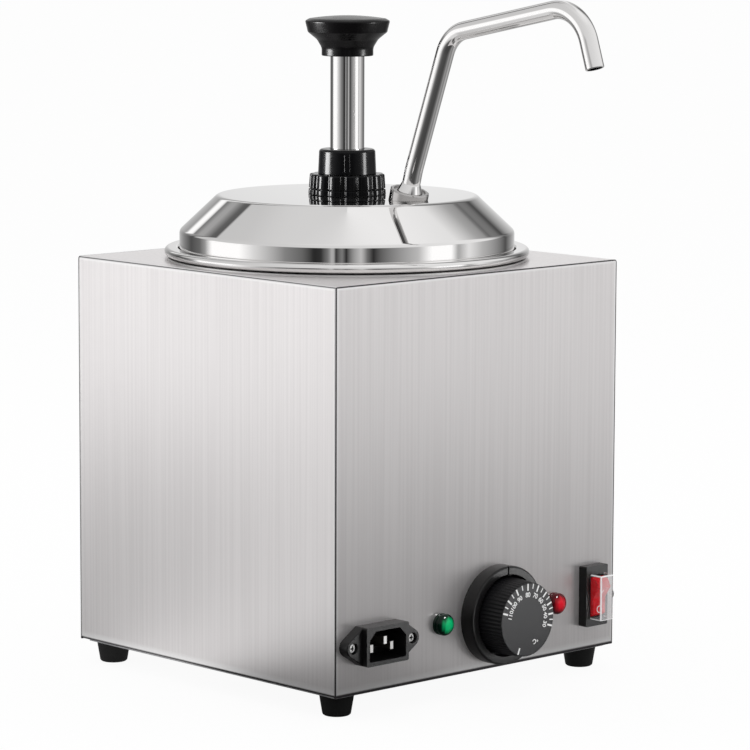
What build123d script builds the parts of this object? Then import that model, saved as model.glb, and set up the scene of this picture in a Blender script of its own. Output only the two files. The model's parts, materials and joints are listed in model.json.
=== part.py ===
"""Counter-top hot fudge warmer with a water bath, a lift-out food pot and a hand pump.

Millimetres. The origin is the centre of the casing's footprint on the standing plane, +Z is up,
the controls face -Y and the spout overhangs the front. Each function makes one sub-part, and the
last section writes one STEP file for each.
"""

from build123d import *
from math import asin, atan2, cos, pi, radians, sin, sqrt, tan
import os

# ---------------------------------------------------------------- casing
casing_width = 203.2
casing_depth = 203.2
casing_height = 208.2
casing_gauge = 1.0
casing_bend = 1.0
casing_flange = 14.0
panel_flange_setback = 2.6
panel_return = 10.0
panel_top_return = 7.5
panel_seam = 0.2
bottom_gauge = 1.2
bottom_inset = 3.4
vent_slot_width = 3.0
vent_slot_length = 40.0
vent_slot_count = 6
vent_slot_pitch = 9.0

# ---------------------------------------------------------------- feet and fasteners
foot_height = 10.8
foot_top_radius = 9.0
foot_bottom_radius = 7.2
foot_edge = 1.5
foot_inset = 12.6
foot_counterbore_radius = 4.3
foot_counterbore_depth = 5.0
m4_radius = 2.0
m4_head_radius = 3.6
m4_head_height = 2.4
m4_nut_flats = 7.0
m4_nut_height = 3.2
m3_radius = 1.5
m3_head_radius = 2.3
m3_head_height = 1.8
m3_nut_flats = 5.5
m3_nut_height = 2.4
screw_hole_play = 0.06
seat_gap = 0.3
thread_past_nut = 1.0
cut_past = 1.0
recess_arm_share = 0.55
recess_width_share = 0.14
recess_depth_share = 0.45
head_round_share = 0.4
countersunk_recess_share = 0.7
bottom_screw_length = 6.0
bottom_screw_head_radius = 3.2
back_screw_length = 6.0
back_screw_margin = 18.0
bottom_screw_spread = 55.0
bottom_screw_inset = 7.6
earth_screw_height = 26.7
earth_screw_from_front = 4.1
earth_screw_length = 7.5
earth_screw_head_radius = 3.3
earth_tag_gauge = 0.8
earth_tag_width = 5.6
earth_tag_length = 9.0

# ---------------------------------------------------------------- water tank
tank_radius = 88.0
tank_gauge = 0.8
tank_floor_rise = 68.0
tank_corner = 7.0
tank_rim_radius = 95.5
tank_hole_play = 0.4

# ---------------------------------------------------------------- food pot
pot_radius = 80.0
pot_gauge = 0.8
pot_floor_gap = 17.0
pot_corner = 9.0
pot_rim_radius = 97.2
pot_rim_height = 4.7
pot_rim_gap = 0.8
pot_rim_bends = (1.4, 1.0, 0.9, 1.2)
pot_throat_radius = 89.8

# ---------------------------------------------------------------- lid
lid_gauge = 1.0
lid_skirt_radius = 89.2
lid_skirt_height = 12.5
lid_top_radius = 68.8
lid_height = 31.8
lid_shoulder_bend = 3.0
lid_top_bend = 4.0

# ---------------------------------------------------------------- pump
cylinder_radius = 14.5
cylinder_bore = 13.2
cylinder_rise = 11.1
cylinder_flange_radius = 19.5
cylinder_flange_thickness = 2.2
gasket_thickness = 1.0
thread_play = 0.05
nut_height = 11.0
nut_bottom_radius = 20.75
nut_top_radius = 19.94
nut_lobes = 14
nut_flute_radius = 1.6
nut_flute_depth = 0.9
nut_flute_azimuth = 195.0
nut_groove_depth = 1.5
nut_band_height = 2.9
nut_band_groove = 0.6
collar_gap = 0.1
collar_height = 13.0
collar_bottom_radius = 15.5
collar_top_radius = 14.9
collar_edge = 1.6
collar_spigot = 11.0
collar_key_width = 3.0
collar_key_height = 11.0
collar_key_depth = 0.5
collar_key_root = 1.0
collar_key_azimuth = -43.0
plunger_radius = 9.1
plunger_wall = 1.0
plunger_play = 0.08
plunger_drop = 30.2
press_knob_rise = 49.3
press_knob_neck_radius = 13.7
press_knob_neck_height = 4.3
press_knob_flare_height = 8.2
press_knob_flare_point = (2.4, 4.6)
press_knob_edge_bottom_radius = 21.05
press_knob_edge_height = 5.9
press_knob_radius = 22.5
press_knob_dome_height = 2.8
press_knob_shoulder = (2.0, 1.1)
press_knob_socket = 10.0
piston_length = 12.0
piston_radius = 12.6
piston_spigot = 12.0
seal_section = 2.4
seal_play = 0.05
seal_side_play = 0.02
seal_squeeze = 0.4
spring_wire = 1.6
spring_radius = 9.5
spring_turns = 9.5
spring_end_gap = 0.2

valve_floor_gap = 8.2
valve_height = 28.0
valve_wall = 3.0
valve_socket_depth = 12.0
intake_bore = 4.2
intake_length = 12.0
intake_ball_radius = 5.0
intake_chamber_radius = 6.4
cage_pin_radius = 1.2
cage_pin_hold = 1.0
intake_ball_lift = 4.0
outlet_axis = 30.0
outlet_passage_radius = 3.4
outlet_passage_rise = 21.0
outlet_boss_radius = 8.6
outlet_boss_height = 46.0
outlet_web_half_width = 6.5
discharge_seat_rise = 4.4
discharge_bore = 3.2
discharge_ball_radius = 4.0
discharge_chamber_radius = 4.9
discharge_ball_lift = 3.4
discharge_pin_radius = 0.8
ball_seat_gap = 0.05

# ---------------------------------------------------------------- spout
pipe_radius = 4.8
pipe_bore = 3.9
spout_hole_setback = 46.9
spout_foot_tilt = 15.0
spout_foot_length = 16.4
spout_first_corner = (77.6, 87.8)
spout_second_corner = (169.8, 105.7)
spout_tip = (180.1, 73.9)
spout_bends = (40.0, 19.0, 21.5)
union_radius = 8.0
union_height = 2.5
union_flange_radius = 12.5
union_flange_thickness = 2.0
union_hole_play = 0.7
union_stub_depth = 5.0
pipe_collar_gap = 0.1
pipe_collar_radius = 7.9
pipe_collar_thickness = 1.0
pipe_flare_radius = 6.6
pipe_flare_length = 6.4
pipe_flare_play = 0.15
pipe_flare_merge = 0.2
spout_nut_radius = 10.5
spout_nut_sides = 12
spout_nut_height = 5.3
spout_nut_lip = 1.5
spout_nut_chamfer = 0.6
spout_nut_rim = 1.6
spout_nut_recess = 0.5
riser_bend = 60.0
riser_insertion = 8.0

# ---------------------------------------------------------------- heater
heater_tube_radius = 3.5
heater_ring_radius = 62.0
heater_ring_rise = 8.0
heater_gap_angle = 22.0
heater_leg_bend = 8.0
heater_leg_drop = 20.0
heater_collar_radius = 9.0
heater_collar_thickness = 2.0
heater_bush_radius = 6.0
heater_bush_length = 9.0
heater_washer_thickness = 1.5
heater_nut_flats = 17.0
heater_nut_height = 5.0

# ---------------------------------------------------------------- controls
controls_rise = 28.4
bezel_x = 13.0
bezel_radius = 26.1
bezel_depth = 8.6
bezel_floor = 1.6
bezel_recess_radius = 21.4
bezel_edge = 1.0
bezel_notch_width = 1.2
bezel_notch_depth = 0.9
spindle_radius = 3.0
spindle_play = 0.05
spindle_flat = 0.8
knob_base_radius = 20.6
knob_face_radius = 19.4
knob_reach = 22.8
knob_running_gap = 0.6
knob_recess_radius = 18.4
knob_recess_depth = 3.0
knob_hub_radius = 6.5
knob_ribs = 60
knob_rib_depth = 0.35
knob_socket_depth = 12.0
thermostat_width = 36.0
thermostat_height = 30.0
thermostat_depth = 27.0
thermostat_plate = 1.2
thermostat_plate_width = 42.0
thermostat_bush_radius = 5.0
thermostat_screw_spread = 14.0
thermostat_screw_length = 7.5
thermostat_screw_head = 1.8
lamp_positions = {"power": -27.8, "heating": 55.5}
lamp_lens_radius = 5.7
lamp_lens_height = 6.4
lamp_collar_top = 1.4
lamp_groove_levels = (1.7, 2.3)
lamp_shoulder_levels = (2.7, 3.6)
lamp_groove_radius = 5.1
lamp_body_radius = 4.9
lamp_body_length = 25.0
lamp_pin_radius = 0.8
lamp_pin_length = 4.0
lamp_pin_spread = 2.5
lamp_hole_radius = 5.05
lamp_nut_flats = 13.0
lamp_nut_height = 3.0

switch_side_distance = 18.1
switch_lift = 1.0
switch_frame_width = 16.4
switch_frame_height = 32.6
switch_frame_depth = 5.5
switch_frame_edge = 0.8
switch_body_width = 13.0
switch_body_height = 28.4
switch_body_depth = 21.0
switch_well_width = 10.0
switch_well_height = 22.6
switch_well_depth = 13.0
rocker_width = 9.4
rocker_half_height = 10.9
rocker_ridge_height = 6.6
rocker_ridge_reach = 4.6
rocker_valley_reach = 3.4
rocker_root_depth = 7.0
rocker_root_half_height = 6.0
rocker_pivot_depth = 2.5
rocker_tilt = 10.0
trunnion_radius = 1.2
trunnion_length = 0.9
trunnion_play = 0.05
cover_wall = 0.7
cover_reach = 8.5
cover_well_play = 0.2
cover_edge = 0.4

inlet_side_distance = 27.7
inlet_drop = 2.9
inlet_flange_thickness = 6.0
inlet_reach = 9.3
inlet_width = 29.2
inlet_body_height = 20.0
inlet_tip_radius = 4.6
inlet_corner = 1.0
inlet_edge = 0.5
inlet_screw_spread = 20.5
inlet_mouth_width = 25.4
inlet_mouth_height = 15.6
inlet_mouth_chamfer = 4.4
inlet_mouth_corner = 1.2
inlet_mouth_depth = 16.5
inlet_rear_depth = 14.0
inlet_rear_wall = 1.2
inlet_screw_recess = 1.2
inlet_screw_play = 0.6
pin_spacing = 7.0
pin_width = 2.0
pin_height = 4.0
pin_depth = 4.7
earth_pin_lead = 2.6
live_pin_drop = 2.0
earth_pin_rise = 2.0
pin_tail = 7.0
pin_play = 0.02
panel_cut_play = 0.2

# ---------------------------------------------------------------- parts under the tank
blade_width = 6.3
blade_gauge = 0.8
blade_length = 8.0
bulb_radius = 3.0
bulb_length = 70.0
bulb_y = -22.0
bulb_x = -20.0
capillary_radius = 0.8
clip_width = 8.0
clip_gauge = 0.8
cutout_x = 42.0
cutout_y = 22.0
cutout_radius = 8.0
cutout_cap_height = 3.0
cutout_flange_radius = 9.2
cutout_flange_thickness = 1.2
cutout_body_height = 9.0
cutout_bracket_gauge = 1.0
cutout_bracket_length = 36.0
cutout_bracket_width = 12.0
cutout_bracket_margin = 1.0
cutout_stud_spread = 13.0
wire_radius = 1.3
wire_bend = 6.0
wire_end_gap = 0.3
switch_blade_x = 2.6
switch_blade_z = 8.0
thermostat_blade_x = (-11.0, -3.0)
cutout_blade_x = 4.2
live_run_setback = 49.6
neutral_run_setback = 57.6
earth_run_setback = 41.6
thermostat_run_setback = 61.6
live_run_rise = 8.0
neutral_run_rise = 6.0
earth_run_rise = 3.0
thermostat_run_lift = 14.0
cutout_run_drop = 8.0
heater_live_sag = 15.0
heater_neutral_sag = 18.0
neutral_turn_setback = 71.6
neutral_turn_clear = 14.0
capillary_lead = 18.0
capillary_bend = 3.5

# ---------------------------------------------------------------- levels and faces worked out from the sizes
casing_bottom = foot_height + bottom_gauge
casing_top = casing_bottom + casing_height
half_width = casing_width / 2
half_depth = casing_depth / 2
front = -half_depth
panel_back = front + casing_gauge
back_screw_heights = (back_screw_margin, casing_height / 2, casing_height - back_screw_margin)
tank_floor_height = casing_bottom + tank_floor_rise
tank_rim_top = casing_top + tank_gauge
tank_outer = tank_radius + tank_gauge
tank_under = tank_floor_height - tank_gauge
pot_outer = pot_radius + pot_gauge
pot_floor_height = tank_floor_height + pot_floor_gap + pot_gauge
pot_rim_bottom = tank_rim_top + pot_rim_gap
pot_rim_top = pot_rim_bottom + pot_rim_height
pot_shoulder_under = tank_rim_top + seat_gap
pot_shoulder_top = pot_shoulder_under + pot_gauge
lid_bottom = pot_shoulder_top + seat_gap
lid_shoulder_height = lid_bottom + lid_skirt_height
lid_top = lid_bottom + lid_height
lid_under = lid_top - lid_gauge
heater_ring_height = tank_floor_height + heater_ring_rise
heater_leg_bottom = tank_floor_height - heater_leg_drop
valve_bottom = pot_floor_height + valve_floor_gap
outlet_passage_height = valve_bottom + outlet_passage_rise
outlet_boss_top = valve_bottom + outlet_boss_height
discharge_seat_height = outlet_passage_height + discharge_seat_rise
cylinder_bottom = valve_bottom + valve_height
cylinder_top = lid_top + cylinder_rise
nut_top = lid_top + nut_height
collar_bottom = cylinder_top + collar_gap
collar_top = collar_bottom + collar_height
plunger_bottom = lid_top - plunger_drop
piston_bottom = plunger_bottom - piston_length
piston_groove_radius = piston_radius - seal_section + seal_squeeze
press_knob_bottom = collar_top + press_knob_rise
press_knob_neck_top = press_knob_bottom + press_knob_neck_height
press_knob_edge_bottom = press_knob_neck_top + press_knob_flare_height
press_knob_edge_top = press_knob_edge_bottom + press_knob_edge_height
press_knob_top = press_knob_edge_top + press_knob_dome_height
controls_height = casing_bottom + controls_rise
switch_x = half_width - switch_side_distance
switch_height = controls_height + switch_lift
inlet_x = inlet_side_distance - half_width
inlet_height = controls_height - inlet_drop
live_run_y = front + live_run_setback
neutral_run_y = front + neutral_run_setback
earth_run_y = front + earth_run_setback
thermostat_run_y = front + thermostat_run_setback
neutral_turn_y = front + neutral_turn_setback
frame_face = front - switch_frame_depth
foot_x = half_width - foot_inset
foot_y = half_depth - foot_inset
OUT_OF_FRONT = Rot(90, 0, 0)


# ---------------------------------------------------------------- shapes that several sub-parts use
def block(x, y, z):
    """Box between two limits along each axis."""
    size = (x[1] - x[0], y[1] - y[0], z[1] - z[0])
    return Pos(x[0], y[0], z[0]) * Box(*size, align=(Align.MIN,) * 3)


def post(radius, bottom, top, x=0.0, y=0.0):
    """Upright round bar."""
    base = (Align.CENTER, Align.CENTER, Align.MIN)
    return Pos(x, y, bottom) * Cylinder(radius, top - bottom, align=base)


def pipe(outer, inner, bottom, top, x=0.0, y=0.0):
    """Upright round tube."""
    return post(outer, bottom, top, x, y) - post(inner, bottom, top, x, y)


def bar_y(radius, y_from, y_to, x, z):
    """Round bar along Y."""
    return Pos(x, y_from, z) * Rot(-90, 0, 0) * post(radius, 0, y_to - y_from)


def bar_x(radius, x_from, x_to, y, z):
    """Round bar along X."""
    return Pos(x_from, y, z) * Rot(0, 90, 0) * post(radius, 0, x_to - x_from)


def turned(*outline):
    """Solid of revolution about Z from (radius, height) corners."""
    return revolve(Plane.XZ * make_face(Polyline(*outline, close=True)), Axis.Z)


def sheet_face(points, bends, gauge):
    """Section of folded sheet: a centre line, the bend radius at each inner corner and the gauge."""
    points = [Vector(*point) for point in points]
    steps = [(b - a).normalized() for a, b in zip(points, points[1:])]
    left = [Vector(-step.Y, step.X) for step in steps]
    sides = {1: [], -1: []}
    radii = {1: [], -1: []}
    for side in (1, -1):
        reach = side * gauge / 2
        sides[side].append(points[0] + left[0] * reach)
        for i, bend in enumerate(bends, start=1):
            middle = (left[i - 1] + left[i]).normalized()
            miter = reach / middle.dot(left[i])
            turn = steps[i - 1].cross(steps[i]).Z
            inner_side = 1 if turn > 0 else -1
            sides[side].append(points[i] + middle * miter)
            radii[side].append(bend - gauge / 2 if side == inner_side else bend + gauge / 2)
        sides[side].append(points[-1] + left[-1] * reach)
    corners = sides[1] + sides[-1][::-1]
    rounds = [0, *radii[1], 0, 0, *radii[-1][::-1], 0]
    return make_face(FilletPolyline(*corners, radius=rounds, close=True))


def spun_sheet(points, bends, gauge):
    """Pan or lid of sheet, spun about Z."""
    return revolve(Plane.XZ * sheet_face(points, bends, gauge), Axis.Z)


def prism(sides, corner_radius, bottom, top, turn=0.0):
    """Upright prism with a regular outline."""
    outline = Rot(0, 0, turn) * RegularPolygon(corner_radius, sides)
    return Pos(0, 0, bottom) * extrude(outline, top - bottom)


def nut(flats, height, bore):
    """Hexagon nut standing on Z = 0."""
    return prism(6, flats / sqrt(3), 0, height) - post(bore + screw_hole_play / 2, 0, height)


def pan_screw(radius, head_radius, head_height, length):
    """Pan head screw: the shank runs down from Z = 0 and the cross recess is in the head."""
    head = post(head_radius, 0, head_height)
    rim = head.edges().filter_by(GeomType.CIRCLE).sort_by(Axis.Z)[-1]
    head = fillet(rim, head_height * head_round_share)
    arm = head_radius * recess_arm_share
    slot = head_radius * recess_width_share
    recess = (head_height * recess_depth_share, head_height)
    head -= block((-arm, arm), (-slot, slot), recess) + block((-slot, slot), (-arm, arm), recess)
    return head + post(radius, -length, 0)


def group(*solids):
    """Several separate solids in one node."""
    return Compound(children=list(solids))


def countersunk_screw(radius, head_radius, head_height, length):
    """Flat head screw whose head is flush with Z = 0 and whose shank runs down."""
    screw = turned((0, 0), (head_radius, 0), (radius, -head_height), (radius, -length), (0, -length))
    arm = head_radius * recess_arm_share
    slot = head_radius * recess_width_share
    recess = (-head_height * countersunk_recess_share, 0)
    return screw - block((-arm, arm), (-slot, slot), recess) - block((-slot, slot), (-arm, arm), recess)


def dome(radius, bottom, top):
    """Arc of a sphere from an edge up to the axis."""
    rise = top - bottom
    sphere = (radius ** 2 + rise ** 2) / (2 * rise)
    half = asin(radius / sphere) / 2
    middle = (sphere * sin(half), top - sphere * (1 - cos(half)))
    return ThreePointArc((radius, bottom), middle, (0, top))


def swept_rod(path, radius):
    """Round bar along a path."""
    return sweep(Plane(origin=path @ 0, z_dir=path % 0) * Circle(radius), path)


def blade(x, y, z, turn=Rot(0, 0, 0)):
    """Push-on terminal blade that stands out along +Z before it is turned."""
    tab = block((-blade_width / 2, blade_width / 2), (-blade_gauge / 2, blade_gauge / 2), (0, blade_length))
    return Pos(x, y, z) * turn * tab


# ---------------------------------------------------------------- casing
def earth_screw_place():
    """Where the earth screw's head meets the right side."""
    return front + earth_screw_from_front, casing_bottom + earth_screw_height


def casing_wrap():
    """Left side, top and right side folded from one sheet, with feet flanges and rear flanges."""
    middle = half_width - casing_gauge / 2
    low = casing_bottom + casing_gauge / 2
    high = casing_top - casing_gauge / 2
    inner = half_width - casing_flange
    points = ((-inner, low), (-middle, low), (-middle, high), (middle, high), (middle, low), (inner, low))
    section = sheet_face(points, (casing_bend,) * 4, casing_gauge)
    length = casing_depth - 2 * casing_gauge - 2 * panel_seam
    wrap = Pos(0, length / 2, 0) * extrude(Plane.XZ * section, length)
    rear = half_depth - casing_gauge - panel_seam
    for side in (-1, 1):
        x = sorted((side * (half_width - casing_gauge / 2), side * (half_width - panel_return)))
        z = (casing_bottom + casing_gauge / 2, casing_top - casing_gauge / 2)
        wrap += block(x, (rear - casing_gauge, rear), z)
        for height in back_screw_heights:
            x_screw = side * (half_width - panel_return / 2 - casing_gauge)
            hole = bar_y(m4_radius + screw_hole_play, rear - 2 * casing_gauge, rear + casing_gauge,
                         x_screw, casing_bottom + height)
            wrap -= hole
    wrap -= post(tank_outer + tank_hole_play, casing_top - 2 * casing_gauge, casing_top + casing_gauge)
    y, z = earth_screw_place()
    wrap -= bar_x(m3_radius + screw_hole_play, half_width - 2 * casing_gauge, half_width + cut_past, y, z)
    return wrap - bottom_holes()


def panel_blank():
    """Upright panel whose top corners follow the wrap's bends."""
    outline = Rectangle(casing_width, casing_height)
    outline = fillet(outline.vertices().group_by(Axis.Y)[-1], casing_bend + casing_gauge / 2)
    middle = casing_bottom + casing_height / 2
    return Pos(0, 0, middle) * extrude(Plane.XZ * outline, casing_gauge)


def panel_returns():
    """Flanges folded back from the front panel, just inside the wrap."""
    inside = half_width - casing_gauge - panel_seam / 2
    back = panel_back + panel_return
    above = casing_bottom + casing_gauge + panel_seam
    below = casing_top - casing_gauge - panel_seam
    short = half_width - casing_flange - panel_flange_setback
    parts = []
    for side in (-1, 1):
        x = sorted((side * inside, side * (inside - casing_gauge)))
        parts.append(block(x, (panel_back, back), (above, below)))
    x = (-short, short)
    parts.append(block(x, (panel_back, panel_back + panel_top_return), (below - casing_gauge, below)))
    level = (casing_bottom, casing_bottom + casing_gauge)
    parts.append(block(x, (panel_back, panel_back + casing_flange), level))
    return parts


def inlet_outline(grow=0.0):
    """Rear body of the mains inlet as a rectangle in X and Z."""
    width = inlet_mouth_width + 2 * inlet_rear_wall + 2 * grow
    height = inlet_mouth_height + 2 * inlet_rear_wall + 2 * grow
    return (inlet_x - width / 2, inlet_x + width / 2), (inlet_height - height / 2, inlet_height + height / 2)


def front_panel():
    """Front panel with the holes for the controls."""
    panel = Pos(0, panel_back, 0) * panel_blank()
    for flange in panel_returns():
        panel += flange
    through = (front - cut_past, panel_back + cut_past)
    x, z = inlet_outline(panel_cut_play)
    panel -= block(x, through, z)
    for side in (-1, 1):
        x_screw = inlet_x + side * inlet_screw_spread
        panel -= bar_y(m3_radius + screw_hole_play, *through, x_screw, inlet_height)
        panel -= bar_y(m4_radius + screw_hole_play, *through, bezel_x + side * thermostat_screw_spread,
                       controls_height)
    panel -= bar_y(thermostat_bush_radius + panel_cut_play, *through, bezel_x, controls_height)
    for x_lamp in lamp_positions.values():
        panel -= bar_y(lamp_hole_radius, *through, x_lamp, controls_height)
    half = switch_body_width / 2 + panel_cut_play
    tall = switch_body_height / 2 + panel_cut_play
    panel -= block((switch_x - half, switch_x + half), through, (switch_height - tall, switch_height + tall))
    y, z = earth_screw_place()
    panel -= bar_x(m3_radius + screw_hole_play, half_width - 4 * casing_gauge, half_width, y, z)
    return panel - bottom_holes()


def bottom_screw_places():
    """Eight screws that hold the bottom plate: four in the wrap, two in each end panel."""
    x_side = half_width - bottom_screw_inset
    y_end = half_depth - bottom_screw_inset
    places = [(side * x_side, y) for side in (-1, 1) for y in (-bottom_screw_spread, bottom_screw_spread)]
    places += [(x, end * y_end) for end in (-1, 1) for x in (-bottom_screw_spread, bottom_screw_spread)]
    return places


def bottom_holes():
    """Clearance holes of the bottom screws and the feet, as high as the flanges."""
    places = bottom_screw_places() + list(foot_places().values())
    level = (foot_height, casing_bottom + 2 * casing_gauge)
    holes = [post(m4_radius + screw_hole_play, *level, x, y) for x, y in places]
    return holes[0] + holes[1:]


def back_panel():
    """Plain back panel with a bottom flange and six screw holes."""
    panel = Pos(0, half_depth, 0) * panel_blank()
    short = half_width - casing_flange - panel_flange_setback
    inner = half_depth - casing_gauge
    level = (casing_bottom, casing_bottom + casing_gauge)
    panel += block((-short, short), (inner - casing_flange, inner), level)
    for x, z in back_screw_places():
        panel -= bar_y(m4_radius + screw_hole_play, inner - cut_past, half_depth + cut_past, x, z)
    return panel - bottom_holes()


def back_screw_places():
    """Six screws round the back panel as (x, z)."""
    x = half_width - panel_return / 2 - casing_gauge
    return [(side * x, casing_bottom + height) for side in (-1, 1) for height in back_screw_heights]


def bottom_plate():
    """Bottom plate with vent slots, screwed up into the flanges."""
    x = half_width - bottom_inset
    y = half_depth - bottom_inset
    plate = block((-x, x), (-y, y), (foot_height, casing_bottom))
    plate -= bottom_holes()
    shank = m4_radius + screw_hole_play
    head = bottom_screw_head_radius + screw_hole_play
    sink = turned((0, 0), (head, 0), (shank, bottom_gauge), (0, bottom_gauge))
    for x_screw, y_screw in bottom_screw_places():
        plate -= Pos(x_screw, y_screw, foot_height) * sink
    for side in (-1, 1):
        for i in range(vent_slot_count):
            y_slot = (i - (vent_slot_count - 1) / 2) * vent_slot_pitch
            x_slot = side * vent_slot_length
            slot = Pos(x_slot, y_slot, foot_height) * SlotOverall(vent_slot_length, vent_slot_width)
            plate -= extrude(slot, bottom_gauge)
    return plate


def casing_screws():
    """Pan head screws of the back panel and countersunk screws of the bottom plate."""
    up = countersunk_screw(m4_radius, bottom_screw_head_radius, bottom_gauge, bottom_screw_length)
    screws = [Pos(x, y, foot_height) * Rot(180, 0, 0) * up for x, y in bottom_screw_places()]
    inward = pan_screw(m4_radius, m4_head_radius, m4_head_height, back_screw_length)
    screws += [Pos(x, half_depth, z) * Rot(-90, 0, 0) * inward for x, z in back_screw_places()]
    return group(*screws)


def foot(x, y):
    """Tapered rubber foot with a counterbore for its screw."""
    body = turned((0, 0), (foot_bottom_radius, 0), (foot_top_radius, foot_height), (0, foot_height))
    rim = body.edges().filter_by(GeomType.CIRCLE).sort_by(Axis.Z)[0]
    body = fillet(rim, foot_edge)
    body -= post(foot_counterbore_radius, 0, foot_counterbore_depth)
    body -= post(m4_radius + screw_hole_play, 0, foot_height)
    return Pos(x, y, 0) * body


def foot_places():
    """Feet by name."""
    return {
        "foot_front_left": (-foot_x, -foot_y),
        "foot_front_right": (foot_x, -foot_y),
        "foot_rear_left": (-foot_x, foot_y),
        "foot_rear_right": (foot_x, foot_y),
    }


def foot_screws():
    """Screws up through the feet."""
    length = casing_bottom + casing_gauge + m4_nut_height + thread_past_nut - foot_counterbore_depth
    screw = Rot(180, 0, 0) * pan_screw(m4_radius, m4_head_radius, m4_head_height, length)
    return group(*[Pos(x, y, foot_counterbore_depth) * screw for x, y in foot_places().values()])


def m4_nuts():
    """Nuts of the feet, on the flanges inside the casing."""
    blank = nut(m4_nut_flats, m4_nut_height, m4_radius)
    return group(*[Pos(x, y, casing_bottom + casing_gauge) * blank for x, y in foot_places().values()])


def earth_screw():
    """Dark domed screw on the right side that clamps the earth tag."""
    y, z = earth_screw_place()
    screw = pan_screw(m3_radius, earth_screw_head_radius, m4_head_height, earth_screw_length)
    return Pos(half_width, y, z) * Rot(0, 90, 0) * screw


def earth_tag_face():
    """Inner face of the front panel's side flange, where the earth tag lies."""
    return half_width - 2 * casing_gauge - panel_seam / 2


def earth_tag():
    """Ring tag of the earth wire, inside the casing."""
    y, z = earth_screw_place()
    inside = earth_tag_face()
    x = (inside - earth_tag_gauge, inside)
    tag = bar_x(earth_tag_width / 2, *x, y, z)
    tag += block(x, (y, y + earth_tag_length), (z - earth_tag_width / 4, z + earth_tag_width / 4))
    return tag - bar_x(m3_radius + screw_hole_play, *x, y, z)


# ---------------------------------------------------------------- water tank and heater
def heater_legs():
    """Where the heater's two legs go through the tank's floor."""
    start = radians(90 + heater_gap_angle)
    x = heater_ring_radius * cos(start) + heater_leg_bend * sin(start)
    y = heater_ring_radius * sin(start) - heater_leg_bend * cos(start)
    return (x, y), (-x, y)


def cutout_studs():
    """Studs under the tank that hold the cut-out's bracket."""
    return [(cutout_x + side * cutout_stud_spread, cutout_y) for side in (-1, 1)]


def cutout_bracket_top():
    """Level of the bracket that presses the cut-out to the tank."""
    return tank_under - cutout_cap_height - cutout_flange_thickness


def water_tank():
    """Spun water tank that hangs in the casing's top by its flange."""
    middle = tank_radius + tank_gauge / 2
    rim = tank_rim_top - tank_gauge / 2
    floor = tank_floor_height - tank_gauge / 2
    points = ((tank_rim_radius, rim), (middle, rim), (middle, floor), (0, floor))
    tank = spun_sheet(points, (tank_gauge, tank_corner), tank_gauge)
    for x, y in heater_legs():
        through = (tank_under - cut_past, tank_floor_height + cut_past)
        tank -= post(heater_bush_radius + screw_hole_play, *through, x, y)
    stud_bottom = cutout_bracket_top() - cutout_bracket_gauge - m3_nut_height - thread_past_nut
    for x, y in cutout_studs():
        tank += post(m3_radius, stud_bottom, tank_under, x, y)
    return tank


def heating_element():
    """Tubular heating element: a ring in the water with two legs through the floor."""
    start = radians(90 + heater_gap_angle)
    (x_left, y_leg), (x_right, _) = heater_legs()
    turn = heater_ring_height - heater_leg_bend
    ring_start = Vector(heater_ring_radius * cos(start), heater_ring_radius * sin(start), heater_ring_height)
    ring_end = Vector(-ring_start.X, ring_start.Y, heater_ring_height)
    middle = Vector(0, -heater_ring_radius, heater_ring_height)
    slope = heater_leg_bend * (1 - sqrt(0.5))
    lift = heater_leg_bend * sqrt(0.5)

    def bend(x, end):
        """Quarter turn from an upright leg into the ring."""
        leg_top = Vector(x, y_leg, turn)
        level = Vector(end.X - leg_top.X, end.Y - leg_top.Y, 0).normalized()
        waypoint = leg_top + level * slope + Vector(0, 0, lift)
        return leg_top, waypoint, end

    left = bend(x_left, ring_start)
    right = bend(x_right, ring_end)
    path = Wire([
        Line((x_left, y_leg, heater_leg_bottom), left[0]),
        ThreePointArc(*left),
        ThreePointArc(ring_start, middle, ring_end),
        ThreePointArc(*right[::-1]),
        Line(right[0], (x_right, y_leg, heater_leg_bottom)),
    ])
    element = swept_rod(path, heater_tube_radius)
    seat = tank_floor_height + heater_washer_thickness
    for x, y in heater_legs():
        element += post(heater_collar_radius, seat, seat + heater_collar_thickness, x, y)
        element += post(heater_bush_radius, tank_under - heater_bush_length, seat, x, y)
    return element


def heater_washers():
    """Silicone sealing washers between the heater's collars and the floor."""
    level = (tank_floor_height, tank_floor_height + heater_washer_thickness)
    washer = (heater_collar_radius, heater_bush_radius + screw_hole_play)
    return group(*[pipe(*washer, *level, x, y) for x, y in heater_legs()])


def heater_nuts():
    """Brass nuts on the heater's bushes under the floor."""
    blank = nut(heater_nut_flats, heater_nut_height, heater_bush_radius)
    return group(*[Pos(x, y, tank_under - heater_nut_height) * blank for x, y in heater_legs()])


def overheat_cutout():
    """Disc cut-out pressed to the underside of the tank."""
    cap_bottom = tank_under - cutout_cap_height
    flange_bottom = cap_bottom - cutout_flange_thickness
    body = post(cutout_radius, cap_bottom, tank_under, cutout_x, cutout_y)
    body += post(cutout_flange_radius, flange_bottom, cap_bottom, cutout_x, cutout_y)
    return body + post(cutout_radius, flange_bottom - cutout_body_height, flange_bottom, cutout_x, cutout_y)


def cutout_bracket():
    """Strap under the cut-out's flange."""
    top = cutout_bracket_top()
    level = (top - cutout_bracket_gauge, top)
    x = (cutout_x - cutout_bracket_length / 2, cutout_x + cutout_bracket_length / 2)
    strap = block(x, (cutout_y - cutout_bracket_width / 2, cutout_y + cutout_bracket_width / 2), level)
    strap += post(cutout_flange_radius + cutout_bracket_margin, *level, cutout_x, cutout_y)
    strap -= post(cutout_radius + screw_hole_play, *level, cutout_x, cutout_y)
    for x_stud, y_stud in cutout_studs():
        strap -= post(m3_radius + screw_hole_play, *level, x_stud, y_stud)
    return strap


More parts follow.
